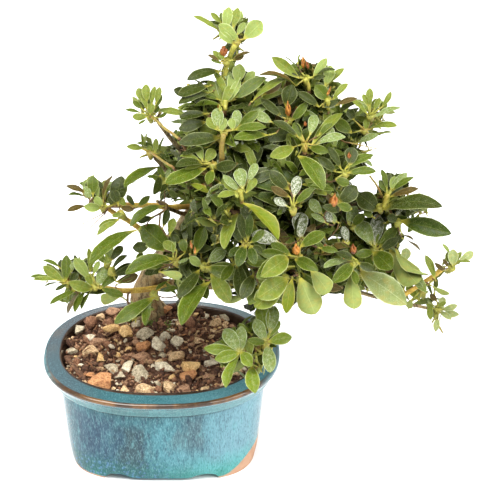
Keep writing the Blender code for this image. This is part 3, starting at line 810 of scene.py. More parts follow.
def make_stones(random):
    large, middling = ball(3), ball(2)
    stones = Stones(random)
    kinds = list(SOIL_STONES)
    for u, v, wide, deep, kind in SEEN_STONES:
        place = on_soil(u, v)
        scale = depth_of(place) / FOCAL_PIXELS
        half_sizes = wide * scale * SEEN_WIDER, deep * scale * SEEN_DEEPER
        stones.lay(place[0], place[1], *half_sizes, kinds.index(kind), large, seen=True)
    sizes, size_shares = list(LOOSE_STONE_SIZES), list(LOOSE_STONE_SIZES.values())
    kind_shares = [tones[3] for tones in SOIL_STONES.values()]
    for _ in range(LOOSE_STONE_TRIES):
        x, y = random.uniform(-62, 62), random.uniform(-47, 47)
        size = random.choice(sizes, p=size_shares) * random.uniform(0.85, 1.2)
        if not inside_soil(x, y, size) or random.random() > 0.6 + 0.4 * (10 - y) / 60:
            continue
        if stones.room(x, y, size):
            stones.lay(x, y, size * random.uniform(0.85, 1.3), size * random.uniform(0.7, 1.1),
                       random.choice(6, p=kind_shares), middling)
    looks = [crumb_look("stone_" + name, dark, light, 600.0, 0.85 if name == "brown" else 0.8, spots)
             for name, (dark, light, spots, _) in SOIL_STONES.items()]
    stones.piece("soil_stones", looks, "soil", smooth=False)


def make_bark_chips(random):
    build = Builder()
    for _ in range(FIBRE_TRIES):
        x, y = random.uniform(-58, 58), random.uniform(-44, 46)
        if not inside_soil(x, y, 3.0):
            continue
        heading = random.uniform(0, 2 * math.pi)
        length, wide = random.uniform(2.5, 8.0), random.uniform(0.25, 0.9)
        away = np.array([math.cos(heading), math.sin(heading), random.uniform(-0.1, 0.3)])
        start = on_ground(x, y, random.uniform(0.6, 1.8))
        route = [start + away * length * t + UP * 0.12 * length * math.sin(math.pi * t)
                 for t in (0, 0.33, 0.66, 1)]
        tube(build, route, [wide * 0.6, wide, wide, wide * 0.4], 5, random.integers(2), flat=0.5)
    for u, v, end_u, end_v, wide in SEEN_STICKS:
        start, end = on_soil(u, v) + 1.5 * UP, on_soil(end_u, end_v) + 1.5 * UP
        route = np.linspace(start, end, 9)
        route = route + wobble(route, 3.0, 0.5)
        half = wide * depth_of(start) / FOCAL_PIXELS
        tube(build, route, half * random.uniform(0.8, 1.15, 9), 8, 2, flat=0.7)
    build.piece("soil_bark_chips", [
        crumb_look("chip_brown", (98, 62, 40), (150, 104, 70)),
        crumb_look("chip_tan", (150, 116, 80), (196, 160, 118)),
        crumb_look("stick_brown", (58, 36, 24), (124, 88, 62), 500.0),
    ], "soil")


def make_moss(random):
    points, faces = ball(1)
    build = Builder()
    for middle, spread, count in MOSS:
        for _ in range(count):
            x, y = np.array(middle) + random.normal(0, spread / 2, 2)
            size = random.uniform(0.35, 0.9)
            lump = turned(points, random) * size * random.uniform(0.7, 1.2, 3)
            build.add(lump + on_ground(x, y, random.uniform(0.4, 1.6)), faces)
    moss = crumb_look("moss", (70, 84, 28), (128, 140, 58), 1500.0, 0.95, (150, 166, 80))
    build.piece("soil_moss", [moss], "soil")


def make_soil():
    random = np.random.default_rng(41)
    make_ground()
    make_crumbs(random)
    make_stones(random)
    make_bark_chips(random)
    make_moss(random)


# ---------------------------------------------------------------- limbs


def node_mesh(name):
    """A node's corners in mm in the pot's frame, its triangles, and a tree to search it."""
    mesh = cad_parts[name].data
    points = np.zeros(len(mesh.vertices) * 3)
    mesh.vertices.foreach_get("co", points)
    points = points.reshape(-1, 3) / MM - POT_MIDDLE
    mesh.calc_loop_triangles()
    corners = np.zeros(len(mesh.loop_triangles) * 3, np.int32)
    mesh.loop_triangles.foreach_get("vertices", corners)
    corners = corners.reshape(-1, 3)
    tree = BVHTree.FromPolygons([Vector(p) for p in points], corners.tolist())
    return points, corners, tree


def tube(build, route, radii, sides, kind=0, flat=1.0):
    """A tube along a route, closed at both ends, with an optional flatter section."""
    route = np.asarray(route, float)
    ahead = unit(np.gradient(route, axis=0))
    side = unit(np.cross(ahead[0], UP if abs(ahead[0][2]) < 0.9 else RIGHT))
    angle = 2 * math.pi * np.arange(sides) / sides
    rings = []
    for here, way, radius in zip(route, ahead, radii):
        side = unit(side - way * (side @ way))
        other = np.cross(way, side)
        rings.append(here + radius * (np.outer(np.cos(angle), side) + flat * np.outer(np.sin(angle), other)))
    first = build.count
    faces = grid_faces(len(route), sides, closed=True)[:, ::-1]
    build.add(np.vstack([*rings, route[:1], route[-1:]]), faces, kind)
    tips = []
    last_ring = (len(route) - 1) * sides
    for i in range(sides):
        j = (i + 1) % sides
        tips.append([last_ring + sides, i, j])
        tips.append([last_ring + sides + 1, last_ring + j, last_ring + i])
    build.faces.append(np.array(tips) + first)
    build.kinds.append(np.full(len(tips), kind))


TRUNK_ROUTE = (
    (-10.5, 37.0, 75.2), (-12.5, 36.0, 92.0), (-4.0, 31.5, 114.0), (11.7, 26.0, 144.0),
    (24.0, 21.0, 170.0), (35.0, 15.0, 203.0), (41.0, 9.5, 234.0), (43.5, 6.0, 266.0),
)
TRUNK_STEPS = 24
# Radius of the trunk at its tip, what it gains down to its foot and how fast, and its flare over the soil.
TRUNK_TIP, TRUNK_GAIN, TRUNK_TAPER = 1.1, 8.5, 1.35
FLARE, FLARE_FOOT, FLARE_HEIGHT = 2.9, 75.8, 7.0
# Under ROOT_TOP the trunk spreads into roots: how many, how far they stand out and where they start.
ROOT_TOP, ROOT_HEIGHT, ROOT_END = 86.0, 11.0, 74.6
ROOTS = ((3, 0.16, 0.7), (5, 0.1, 0.0))
# Boughs that are still young wood.
YOUNG_BOUGHS = ("mid_left", "mid_left_under", "low_left", "right_tip")
YOUNG_SWELL = 1.25
# How far a bough's line starts inside its parent, its steps, its sway, and the collar where it leaves.
BOUGH_LEAD = 3.0
BOUGH_STEPS = 34
BOUGH_SWAY = 1.3
COLLAR, COLLAR_REACH = 0.5, 1.6


def bough_lines():
    """The middle line of each bough and its radii, from where it leaves its parent."""
    trunk = smooth_line(TRUNK_ROUTE, TRUNK_STEPS)
    lines = {}
    for node in sorted(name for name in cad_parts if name.startswith("bough_")):
        points, _, _ = node_mesh(node)
        middle = points.mean(0)
        way = np.linalg.svd(points - middle)[2][0]
        ends = [points[np.argmin((points - middle) @ way)], points[np.argmax((points - middle) @ way)]]
        if np.linalg.norm(trunk - ends[0], axis=1).min() > np.linalg.norm(trunk - ends[1], axis=1).min():
            way = -way
        along = (points - middle) @ way
        bow = np.polyfit(along, points, 2)
        off = np.linalg.norm(points - bow_at(bow, along), axis=1)
        thin = np.polyfit(along, off, 1)
        steps = np.linspace(along.min() - BOUGH_LEAD, along.max(), BOUGH_STEPS)
        lines[node[6:]] = (bow_at(bow, steps), np.polyval(thin, steps))
    return lines


def bow_at(bow, along):
    """Points of a curve whose factors, for the square, the slope and the middle, are given for each axis."""
    return along[:, None] ** 2 * bow[0] + along[:, None] * bow[1] + bow[2]


def trunk_radius(share, height):
    taper = TRUNK_TIP + TRUNK_GAIN * (1 - share) ** TRUNK_TAPER
    return taper + FLARE * math.exp(-(height - FLARE_FOOT) / FLARE_HEIGHT)


def bark_tube(build, route, radii, sides, relief, kind=0):
    """A limb with ridges along it and small knots."""
    route = np.asarray(route, float)
    tube(build, route, radii, sides, kind)
    points = build.points[-1]
    for i, point in enumerate(points[: len(route) * sides]):
        ring = i // sides
        out = point - route[ring]
        ridge = jitter((out[0] * 2.2, out[1] * 2.2, point[2] * 0.45 + out[2]), 3.4, 2.0)
        knot = jitter(point, 7.0, 9.0)
        fine = jitter(point, 1.3, 4.0)
        points[i] = route[ring] + out * (1 + relief * (0.55 * ridge + 0.5 * knot + 0.25 * fine))


def make_trunk(bark):
    build = Builder()
    route = smooth_line(TRUNK_ROUTE, TRUNK_STEPS)
    radii = [trunk_radius(share, point[2]) for share, point in zip(np.linspace(0, 1, len(route)), route)]
    bark_tube(build, route, radii, 40, 0.17)
    points = build.points[-1]
    for i in np.nonzero(points[:, 2] < ROOT_TOP)[0]:
        away = points[i, :2] - TRUNK_FOOT
        angle = math.atan2(away[1], away[0])
        low = max(0.0, (ROOT_TOP - points[i, 2]) / ROOT_HEIGHT) ** 2
        swell = 1 + low * sum(size * math.sin(count * angle + start) for count, size, start in ROOTS)
        points[i, :2] = TRUNK_FOOT + away * swell
    points[:, 2] = np.maximum(points[:, 2], ROOT_END)
    build.piece("bark_trunk", [bark], "bark", ["trunk"])
    return route, radii


def make_limbs():
    """The trunk and the boughs, and for each its name with its middle line and its radii."""
    bark = bark_look()
    limbs = {"trunk": make_trunk(bark)}
    boughs = Builder()
    for name, (line, radius) in bough_lines().items():
        far = np.linalg.norm(line - line[0], axis=1)
        young = name in YOUNG_BOUGHS
        collar = 1 + COLLAR * np.exp(-far / (COLLAR_REACH * radius[0]))
        radius = radius * collar * (YOUNG_SWELL if young else 1)
        ends_still = np.sin(np.linspace(0, np.pi, len(line)))[:, None]
        line = line + wobble(line, 16.0, BOUGH_SWAY, (1.0, 4.0, 7.0)) * ends_still
        bark_tube(boughs, line, radius, 14, 0.14, int(young))
        limbs[name] = (line, radius)
    young_bark = twig_look("bark_young", (158, 128, 42), (208, 178, 80), (152, 108, 42), 0.6)
    replaced = ["bough_" + name for name in limbs if name != "trunk"]
    boughs.piece("bark_boughs", [bark, young_bark], "bark", replaced)
    return limbs


# ---------------------------------------------------------------- leaves

# Leaf stations: how far along each lies, and the half width there of a slim leaf and of a broad-ended one.
ALONG = np.array([0.0, 0.06, 0.16, 0.30, 0.46, 0.62, 0.76, 0.88, 0.96, 1.0])
SLIM = np.array([0.12, 0.22, 0.48, 0.78, 0.96, 1.0, 0.84, 0.54, 0.25, 0.02])
BROAD = np.array([0.12, 0.20, 0.38, 0.60, 0.83, 0.98, 0.98, 0.74, 0.40, 0.03])
ACROSS = np.array([-1.0, -0.55, 0.0, 0.55, 1.0])
LEAF_SKIN = 0.3
TILE_MARGIN = 0.03
# How far a leaf's middle bends to one side at random, how much its tip droops, and its edge's waves.
SIDE_BEND = 0.02
DROOP = 0.35
EDGE_WAVES = 0.09
# Stations and columns of a leaf's mesh: all of them for a leaf that stands out, fewer for the rest.
FULL = (tuple(range(10)), tuple(range(5)))
SPARE = ((0, 1, 2, 4, 6, 8, 9), (0, 2, 4))


def leaf_faces(rows, columns):
    quads = grid_faces(len(rows), len(columns))
    return np.concatenate([quads[:, [0, 1, 2]], quads[:, [0, 2, 3]]])


LEAF_FACES = {kept: leaf_faces(*kept) for kept in (FULL, SPARE)}


def tile_uv(name):
    tile = LEAF_TILE[name]
    v, u = np.meshgrid(ALONG, ACROSS, indexing="ij")
    u = (tile % TILES_ACROSS + 0.5 + u * (0.5 - TILE_MARGIN)) / TILES_ACROSS
    v = (tile // TILES_ACROSS + TILE_MARGIN + v * (1 - 2 * TILE_MARGIN)) / TILES_UP
    return np.stack([u, v], 2)


LEAF_UV = {name: tile_uv(name) for name in LEAF_LOOKS}


def add_leaf(build, foot, tip, normal, half, tint, random, arch=0.08, fold=0.1, broad=0.5, kept=FULL):
    """A leaf from foot to tip. half is its greatest half width, arch how far its middle stands up over the
    line from foot to tip, and fold how far its edges stand up, both as shares."""
    foot, tip = np.asarray(foot), np.asarray(tip)
    length = np.linalg.norm(tip - foot)
    way = (tip - foot) / length
    normal = unit(normal - way * (normal @ way))
    side = np.cross(way, normal)
    widths = half * (SLIM * (1 - broad) + BROAD * broad)
    bend = random.normal(0, SIDE_BEND)
    rise = arch * length * 4 * ALONG * (1 - ALONG) - DROOP * arch * length * ALONG**3
    line = foot + np.outer(ALONG * length, way) + np.outer(rise, normal)
    line = line + np.outer(bend * length * 4 * ALONG * (1 - ALONG), side)
    a, t = np.meshgrid(ALONG, ACROSS, indexing="ij")
    phase = a * random.uniform(9, 15) + random.uniform(0, 6) + 2.2 * np.sign(t)
    waves = EDGE_WAVES * np.sin(phase) * np.abs(t)
    lift = widths[:, None] * (fold * 1.6 * np.abs(t) ** 1.4 + waves)
    top = (line[:, None, :] + (widths[:, None] * t * (1 - 0.35 * fold**2))[..., None] * side
           + lift[..., None] * normal)
    sink = LEAF_SKIN * (1 - t**2) * np.minimum(1, widths[:, None] / half + 0.3)
    below = top - sink[..., None] * normal
    under = UNDERSIDES.get(tint, "v")
    if tint == "u":
        tint, under = "m", "u"
    cut = np.ix_(*kept)
    faces = LEAF_FACES[kept]
    build.add(top[cut].reshape(-1, 3), faces[:, ::-1], LEAF_INDEX[tint], LEAF_UV[tint][cut].reshape(-1, 2))
    build.add(below[cut].reshape(-1, 3), faces, LEAF_INDEX[under], LEAF_UV[under][cut].reshape(-1, 2))


# ---------------------------------------------------------------- foliage masses

# Leaf pieces, the masses of foliage that each stands for, and the tints dealt out to a mass's sprays.
# The masses on the right get lighter tints: partly painted light, for the brighter light on that side.
REGIONS = {
    "leaves_top": {
        "top": "nnllmp", "crown_front": "llmdmp", "left_high": "nlmmp", "left_upper": "nlmd",
        "upper_right": "lmdmop", "right_high": "lmlp", "back_high": "lmdm",
    },
    "leaves_middle": {
        "centre": "mdmog", "centre_right": "mlge", "centre_low": "mdmgo", "mid_left": "lmdop",
        "inner_left": "mlpd", "right_upper": "mllpe", "right": "mlegp",
    },
    "leaves_low": {
        "low_left": "lmpdn", "low_centre": "dmgdp", "low_fringe": "dmlp", "low_right": "mlgep",
        "right_tip": "lbmp", "low_right_tip": "bnlb", "front_spray": "pffl",
    },
    "leaves_back": {"back_left": "lmde", "back_middle": "lmde", "back_right": "mdel", "back_low": "mdeg"},
}
MASS_TINTS = {mass: tints for masses in REGIONS.values() for mass, tints in masses.items()}
MASS_REGION = {mass: region for region, masses in REGIONS.items() for mass in masses}
MASSES = {name: node_mesh("foliage_" + name) for name in MASS_TINTS}


def outside_by(point, tree):
    """How far a point lies outside a mass, or less than 0 inside it."""
    point = Vector(point)
    far = tree.find_nearest(point)[3]
    _, normal, _, _ = tree.ray_cast(point, Vector(UP))
    return -far if normal is not None and normal.z > 0 else far


def nearest_mass(point):
    return min((outside_by(point, tree), name) for name, (_, _, tree) in MASSES.items())


def sight_depth(u, v):
    """Depth at which the line of sight through a pixel comes close to the foliage."""
    best = (1e9, 0.0)
    for depth in range(NEAREST, FURTHEST, 4):
        spot = Vector(at_pixel(u, v, depth))
        far = min(tree.find_nearest(spot)[3] for _, _, tree in MASSES.values())
        if far < CLOSE_BY:
            return depth + CLOSE_BY
        best = min(best, (far, depth))
    return best[1]


def on_picture(point):
    """The pixel at which a point shows."""
    away = np.asarray(point) - CAMERA_PLACE
    depth = away @ SIGHT
    return np.array([PICTURE / 2 + FOCAL_PIXELS * (away @ RIGHT) / depth,
                     PICTURE / 2 - FOCAL_PIXELS * (away @ ABOVE) / depth])


# Shoots at the front of the crown: the pixel of each one's tip, then for each leaf the pixels of its foot
# and its tip, its visible width in pixels and its tint.
SHOOTS = (
    (237, 41, "226 31 229 6 11n, 233 28 238 7 9l, 222 23 211 13 6l, 223 23 221 12 4m, 219 31 194 17 6l, "
     "237 35 245 22 7n, 244 39 262 21 18n, 239 41 219 25 12n, 234 44 219 33 9n, 234 31 229 20 9p"),
    (226, 61, "220 62 208 55 4o, 231 61 250 53 4o, 222 61 213 51 6l, 234 60 244 56 7o, 224 60 219 52 6l, "
     "222 64 211 60 4m"),
    (226, 72, "220 71 188 81 11d, 237 83 240 64 14n, 244 82 255 72 9n, 231 82 227 72 8p, 220 78 214 72 3m, "
     "231 74 232 61 7l"),
    (224, 102, "223 104 221 74 13p, 226 100 214 72 8l, 229 98 238 66 13n, 222 106 232 84 10l, "
     "224 102 208 80 12l, 224 102 229 79 8d, 227 103 240 79 9n, 231 101 265 77 13m, 253 101 286 77 8l, "
     "263 95 281 82 10o, 219 100 198 92 7m, 223 107 195 107 6m, 209 86 180 98 12d, 211 92 180 106 9d"),
    (306, 78, "299 78 272 57 12l, 302 73 285 56 2m, 298 62 300 54 2l, 313 77 327 58 9n, 325 86 331 65 12n, "
     "315 77 335 70 4d, 328 85 344 68 7l, 302 77 289 69 6d, 312 78 325 77 5d, 296 86 259 75 5o"),
    (328, 100, "328 100 315 86 15m, 326 92 316 83 8d, 332 101 348 83 7l, 322 107 338 101 7d, "
     "335 106 357 98 6o, 319 107 297 93 9d"),
    (288, 120, "286 107 292 85 17d, 288 120 277 106 9d, 291 121 307 103 9m, 282 117 261 99 9d, "
     "272 122 255 112 10p"),
    (305, 144, "299 138 273 121 8d, 302 139 294 122 9m, 310 135 315 114 11p, 312 145 343 112 10l, "
     "319 135 333 124 9m, 294 147 270 158 13l, 298 156 322 190 17m, 309 147 327 153 9m, 316 145 345 137 9p, "
     "302 135 296 122 3d"),
    (370, 116, "370 107 370 88 8l, 368 106 363 94 6l, 374 110 380 98 6l, 382 107 391 92 6l, "
     "368 115 350 98 6l, 371 119 399 109 6p, 382 113 386 102 5l"),
    (364, 130, "366 130 367 119 7l, 371 129 395 127 7l, 357 143 377 136 7p, 371 135 391 133 3l, "
     "354 120 348 109 9d, 352 133 335 121 13m"),
    (346, 173, "350 166 352 147 15d, 345 169 374 154 9m, 347 173 376 171 9m, 341 169 328 147 8d, "
     "335 179 349 184 9m, 336 172 318 158 9d"),
    (386, 199, "390 189 407 173 9p, 391 190 395 176 8n, 387 190 382 169 6m, 389 194 379 180 7m, "
     "392 191 413 177 6m, 390 197 417 189 7o, 373 217 364 210 9m, 379 211 358 194 23d"),
    (338, 203, "338 203 357 186 16d, 333 204 327 194 6o, 341 210 322 207 9d, 352 209 338 205 9m"),
    (293, 210, "290 197 271 187 8o, 294 197 298 176 11w, 295 204 314 187 8m, 287 206 274 199 8w, "
     "289 190 270 171 13d"),
    (301, 239, "301 239 301 212 17w, 322 214 310 199 11p, 333 222 325 212 11w, 326 223 311 214 6p"),
    (241, 189, "243 189 239 168 14p, 247 183 257 163 9p, 240 191 223 175 8p, 237 192 224 182 9l, "
     "237 193 218 197 7l, 246 193 256 178 9l, 242 203 278 239 13y"),
    (224, 132, "218 129 217 108 13p, 217 130 207 118 9l, 221 132 225 118 9n, 234 129 237 109 10p, "
     "233 130 231 118 9n, 238 127 258 112 11m, 234 130 266 128 9m, 268 135 234 139 11m"),
    (165, 181, "165 180 158 166 6m, 164 182 152 176 6l, 168 184 160 192 6d, 166 180 169 168 5p, "
     "168 190 178 198 6d, 160 175 155 195 8d, 161 179 148 177 4m"),
    (213, 164, "203 161 197 145 9n, 205 162 214 149 13l, 200 161 180 156 5l, 203 164 177 167 9d, "
     "203 165 186 170 7l, 206 168 168 184 15m, 213 170 208 185 10m, 214 167 236 165 12d"),
    (220, 138, "220 138 180 144 14d, 190 95 174 90 10d, 207 114 180 119 9d, 206 122 180 130 12d, "
     "208 147 183 155 6d"),
    (150, 116, "144 104 138 88 10l, 141 113 126 110 4m, 147 119 139 125 3m, 158 118 167 113 4m, "
     "142 109 133 101 6m, 147 109 142 94 6l, 152 106 155 86 6l, 155 109 162 95 6m, 150 115 152 103 8l, "
     "155 114 158 105 6m, 147 102 146 84 9l, 156 104 160 87 7l, 147 117 133 117 8l"),
    (150, 152, "143 149 127 147 7l, 142 149 141 133 3l, 145 149 147 132 3l, 155 153 156 138 6l, "
     "159 154 164 136 3m, 153 153 147 146 6l"),
    (103, 206, "86 193 67 186 6o, 86 197 69 195 3m, 86 206 69 211 6o, 93 195 93 176 12m, "
     "103 199 112 175 5o, 91 199 84 186 8p, 98 198 96 183 6n, 103 206 95 197 8n, 101 208 85 207 10n, "
     "113 207 122 176 18d, 159 167 127 188 11m, 135 206 127 195 6d, 138 206 150 196 7m, 112 206 110 196 6d, "
     "118 204 113 190 12d, 126 206 119 198 9l, 120 207 134 210 7o"),
    (120, 213, "119 219 99 227 9l, 118 221 98 235 7l, 124 214 112 216 5l, 165 206 131 226 10m, "
     "152 217 137 221 8d, 163 227 168 209 8d"),
    (142, 230, "170 251 141 226 25m, 149 246 133 248 12d, 142 252 139 263 8m, 137 230 93 262 14m"),
    (175, 261, "173 259 127 273 15m, 177 251 163 242 10l, 171 263 158 257 9m, 180 243 172 235 8d, "
     "173 255 174 240 5n, 185 253 182 239 9m, 170 234 174 218 9l"),
    (204, 266, "201 267 190 256 9n, 208 263 224 248 10p, 209 267 240 273 16m, 211 274 230 301 17l, "
     "199 270 179 296 13d, 210 282 183 322 18m, 196 253 204 227 14m, 161 272 183 276 9u"),
    (112, 270, "112 276 136 266 9d, 118 284 134 276 6m, 112 274 133 264 9d, 112 270 127 255 6d, "
     "116 282 138 275 10o"),
    (108, 262, "108 262 108 238 11m, 110 262 122 246 9d, 106 264 98 252 8m, 104 266 112 252 9l"),
    (96, 286, "89 279 75 258 12n, 90 273 89 248 6l, 93 275 99 261 6n, 97 286 106 266 13p, 92 286 87 273 8l, "
     "92 289 71 282 12l, 100 289 118 274 9m, 101 288 124 295 9m, 120 297 102 299 12u"),
    (65, 282, "65 282 66 255 11m, 65 282 43 266 10l, 60 268 43 260 4m, 60 281 31 276 5m, 58 283 45 286 2m, "
     "70 282 78 273 8d, 77 290 52 303 6m, 69 284 56 290 4d, 82 289 70 312 5o, 86 290 77 311 7m, "
     "91 291 83 308 5m, 72 271 73 262 5p, 56 280 34 279 5l"),
    (153, 294, "155 297 116 322 14m, 153 297 147 324 8m, 158 291 178 288 6m, 168 281 156 290 4m"),
    (380, 207, "382 210 437 206 15d, 387 203 408 200 2d"),
    (398, 222, "401 221 448 234 19e, 398 221 387 216 9d, 404 239 419 250 3o, 402 235 413 240 2o"),
    (374, 249, "373 245 358 222 18p, 375 245 378 213 14w, 373 246 366 236 8m, 376 246 383 233 9m, "
     "379 248 397 227 11m, 380 251 399 238 9d, 374 252 355 255 9m, 374 252 390 269 20m, 398 245 403 233 7d"),
    (355, 262, "353 263 331 282 14m, 353 270 356 284 8m, 358 263 374 270 9d, 354 258 335 253 8d, "
     "352 261 323 267 6p, 352 271 352 309 19u"),
    (361, 272, "361 272 402 303 27b, 390 250 414 284 25u, 396 248 424 275 7u, 404 262 420 286 14p, "
     "412 274 424 291 10n, 398 270 392 285 12l, 404 262 407 248 11b"),
    (422, 290, "422 290 415 279 9l, 419 301 408 285 9l, 412 299 407 308 8u"),
    (452, 268, "453 266 453 249 11b, 458 262 474 252 9b, 456 262 471 262 4l, 450 255 442 244 4n, "
     "448 267 442 259 4o, 435 279 425 255 8l, 444 271 434 263 5o, 432 286 449 294 6u, 452 262 462 252 6l, "
     "450 264 447 252 7l"),
    (438, 308, "441 307 444 297 7b, 442 310 457 305 7b, 441 314 458 314 8b, 438 319 434 331 7b, "
     "431 304 429 319 7l, 437 301 430 294 6o, 440 312 450 319 6b, 437 306 446 302 5l, 434 309 426 304 5l"),
    (299, 257, "298 242 301 212 3d, 300 247 325 233 13m, 291 256 271 243 11m, 288 258 261 276 20l, "
     "295 259 317 270 13m, 288 255 260 253 11m, 300 278 315 314 27u, 292 279 286 313 13y, "
     "311 270 328 293 20u, 288 279 258 297 23l, 320 248 337 251 7m"),
    (346, 242, "348 243 343 226 8w, 337 222 324 214 9p"),
    (240, 352, "240 352 224 329 15p, 241 352 241 326 12p, 240 353 204 348 12f, 240 353 215 359 13f, "
     "241 352 252 365 13f, 240 355 226 385 10f, 252 366 255 391 15f, 238 353 229 350 6n"),
    (267, 342, "266 341 255 319 13p, 267 339 280 321 9f, 268 342 292 337 13f, 267 345 270 370 14p, "
     "266 342 248 339 8m, 265 332 261 304 15f, 270 333 275 306 14p"),
    (208, 266, "204 282 207 298 10m, 206 267 240 275 15m, 201 266 190 257 9n, 208 262 226 250 11p"),
    (284, 258, "287 260 257 277 20m, 279 258 247 262 12m, 279 243 252 234 14w"),
    (236, 262, "238 264 243 298 15d, 240 258 247 284 12d, 232 262 228 240 9e, 243 262 252 246 9d, "
     "234 264 222 280 10m, 246 296 222 301 8u"),
    (246, 243, "246 242 240 214 9d, 248 240 250 214 9e, 242 243 231 226 8d, 250 243 264 230 8m, "
     "246 246 238 266 12e, 250 246 255 264 10e, 241 246 229 256 7e, 252 246 262 253 9d"),
    (352, 226, "348 224 356 206 12p, 352 226 364 214 9m, 349 224 344 210 8d"),
    (285, 278, "285 278 255 307 23l, 258 286 249 304 11m, 253 275 242 298 14d, 238 213 224 248 12l"),
)
# How a leaf stands to its shoot, the least width of a leaf as a share of its length, how much of that is
# blade, and its greatest half width.
LEAF_LEAN = math.cos(math.radians(66))
SLENDER, BLADE = 0.4, 0.82
WIDEST = 0.36
# Depths between which the foliage lies, and how close to a mass a line of sight meets it.
NEAREST, FURTHEST = 880, 1080
CLOSE_BY = 5.0
# Seen leaves are kept from reaching further forward than FOREMOST, and grown ones that are nearer than
# BARK_DEPTH from hiding SEEN_BARK.
FOREMOST = -84.0
BARK_DEPTH = 1045.0
# A leaf whose foot is nearer to its shoot's tip than this hangs on it, and any other on a twig of its own.
STALK_REACH = 9.0
SLANTS = np.radians(np.linspace(-42, 42, 25))


class Crown:
    """Leaves, the shoots that carry them, and the buds, gathered before the twigs are grown to meet them."""

    def __init__(self):
        self.regions = {name: Builder() for name in REGIONS}
        self.sites = []
        self.stalks = []
        self.buds = []
        self.main = []
        self.fronts = []

    def leaf(self, mass, stem, foot, tip, *rest, thick=0.5, **more):
        add_leaf(self.regions[MASS_REGION[mass]], foot, tip, *rest, **more)
        self.stalks.append((stem, foot, thick))


def seen_way(foot, flat, axis):
    """Which way a leaf points, and its length, when it shows as flat on the picture: of all slants, the one
    that suits its shoot."""
    ways = unit(unit(flat) * np.cos(SLANTS)[:, None] + SIGHT * np.sin(SLANTS)[:, None])
    lengths = np.linalg.norm(flat) / np.cos(SLANTS)
    cost = np.abs(ways @ axis - LEAF_LEAN) + 0.4 * np.abs(SLANTS)
    cost += (foot[1] + ways[:, 1] * lengths < FOREMOST) * 5.0
    best = np.argmin(cost)
    return ways[best], lengths[best]


def seen_normal(way, axis, narrowed):
    """The leaf's upper side, rolled from the camera until its width shows narrowed."""
    face_on = unit(-SIGHT + way * (SIGHT @ way))
    side = np.cross(way, face_on)
    roll = math.copysign(math.acos(min(1.0, max(0.3, narrowed))), unit(axis - way * (axis @ way)) @ side)
    return face_on * math.cos(roll) + side * math.sin(roll)


def seen_shoots(crown):
    random = np.random.default_rng(7)
    for u, v, row in SHOOTS:
        leaves = [entry.split() for entry in row.split(", ")]
        leaves = [(*map(float, e[:4]), float(e[4][:-1]), e[4][-1]) for e in leaves]
        spots = [(u, v)] + [((a + c) / 2, (b + d) / 2) for a, b, c, d, _, _ in leaves]
        depth = sorted(sight_depth(*spot) for spot in spots)[len(spots) // 3] + 4.0
        centre = at_pixel(u, v, depth)
        _, mass = nearest_mass(centre)
        axis = unit(0.75 * UP + 0.45 * unit(centre - MASSES[mass][0].mean(0)) - 0.25 * SIGHT)
        crown.sites.append((centre, axis, 1.0))
        crown.main.append(centre.tolist())
        crown.buds.append((centre + axis * 0.8, axis, random.uniform(0.7, 1.1), 0))
        scale = depth / FOCAL_PIXELS
        for foot_u, foot_v, tip_u, tip_v, width, tint in leaves:
            foot = at_pixel(foot_u, foot_v, depth - random.uniform(0, 2.5))
            way, length = seen_way(foot, (RIGHT * (tip_u - foot_u) - ABOVE * (tip_v - foot_v)) * scale, axis)
            seen = width * scale / 2
            half = min(max(seen, SLENDER / 2 * length * BLADE), WIDEST * length)
            normal = seen_normal(way, axis, seen / half)
            stem = centre
            if np.linalg.norm(foot - centre) >= STALK_REACH:
                stem = foot - way * 1.5
                crown.sites.append((stem, unit(way + 0.3 * axis), 0.6))
            if tint == "u":
                normal = -normal
            crown.leaf(mass, stem, foot, foot + way * length, normal, half, tint, random,
                       arch=random.uniform(0.03, 0.12), fold=random.uniform(-0.1, 0.32),
                       broad=random.uniform(0.1, 0.7), thick=0.85)
            for share in (0.1, 0.5, 0.9):
                spot = foot + way * length * share
                crown.fronts.append((*on_picture(spot), depth_of(spot), width / 2))
    crown.fronts = np.array(crown.fronts)


def hides_front(crown, points, margin=2.5):
    """Whether any of the points would stand before a seen leaf."""
    for point in points:
        pixel, depth = on_picture(point), depth_of(point)
        if depth < BARK_DEPTH and (np.hypot(*(pixel - SEEN_BARK[:, :2]).T) < SEEN_BARK[:, 2] + margin).any():
            return True
        far = np.hypot(crown.fronts[:, 0] - pixel[0], crown.fronts[:, 1] - pixel[1])
        if np.any((far < crown.fronts[:, 3] + margin) & (depth < crown.fronts[:, 2] + 2.0)):
            return True
    return False


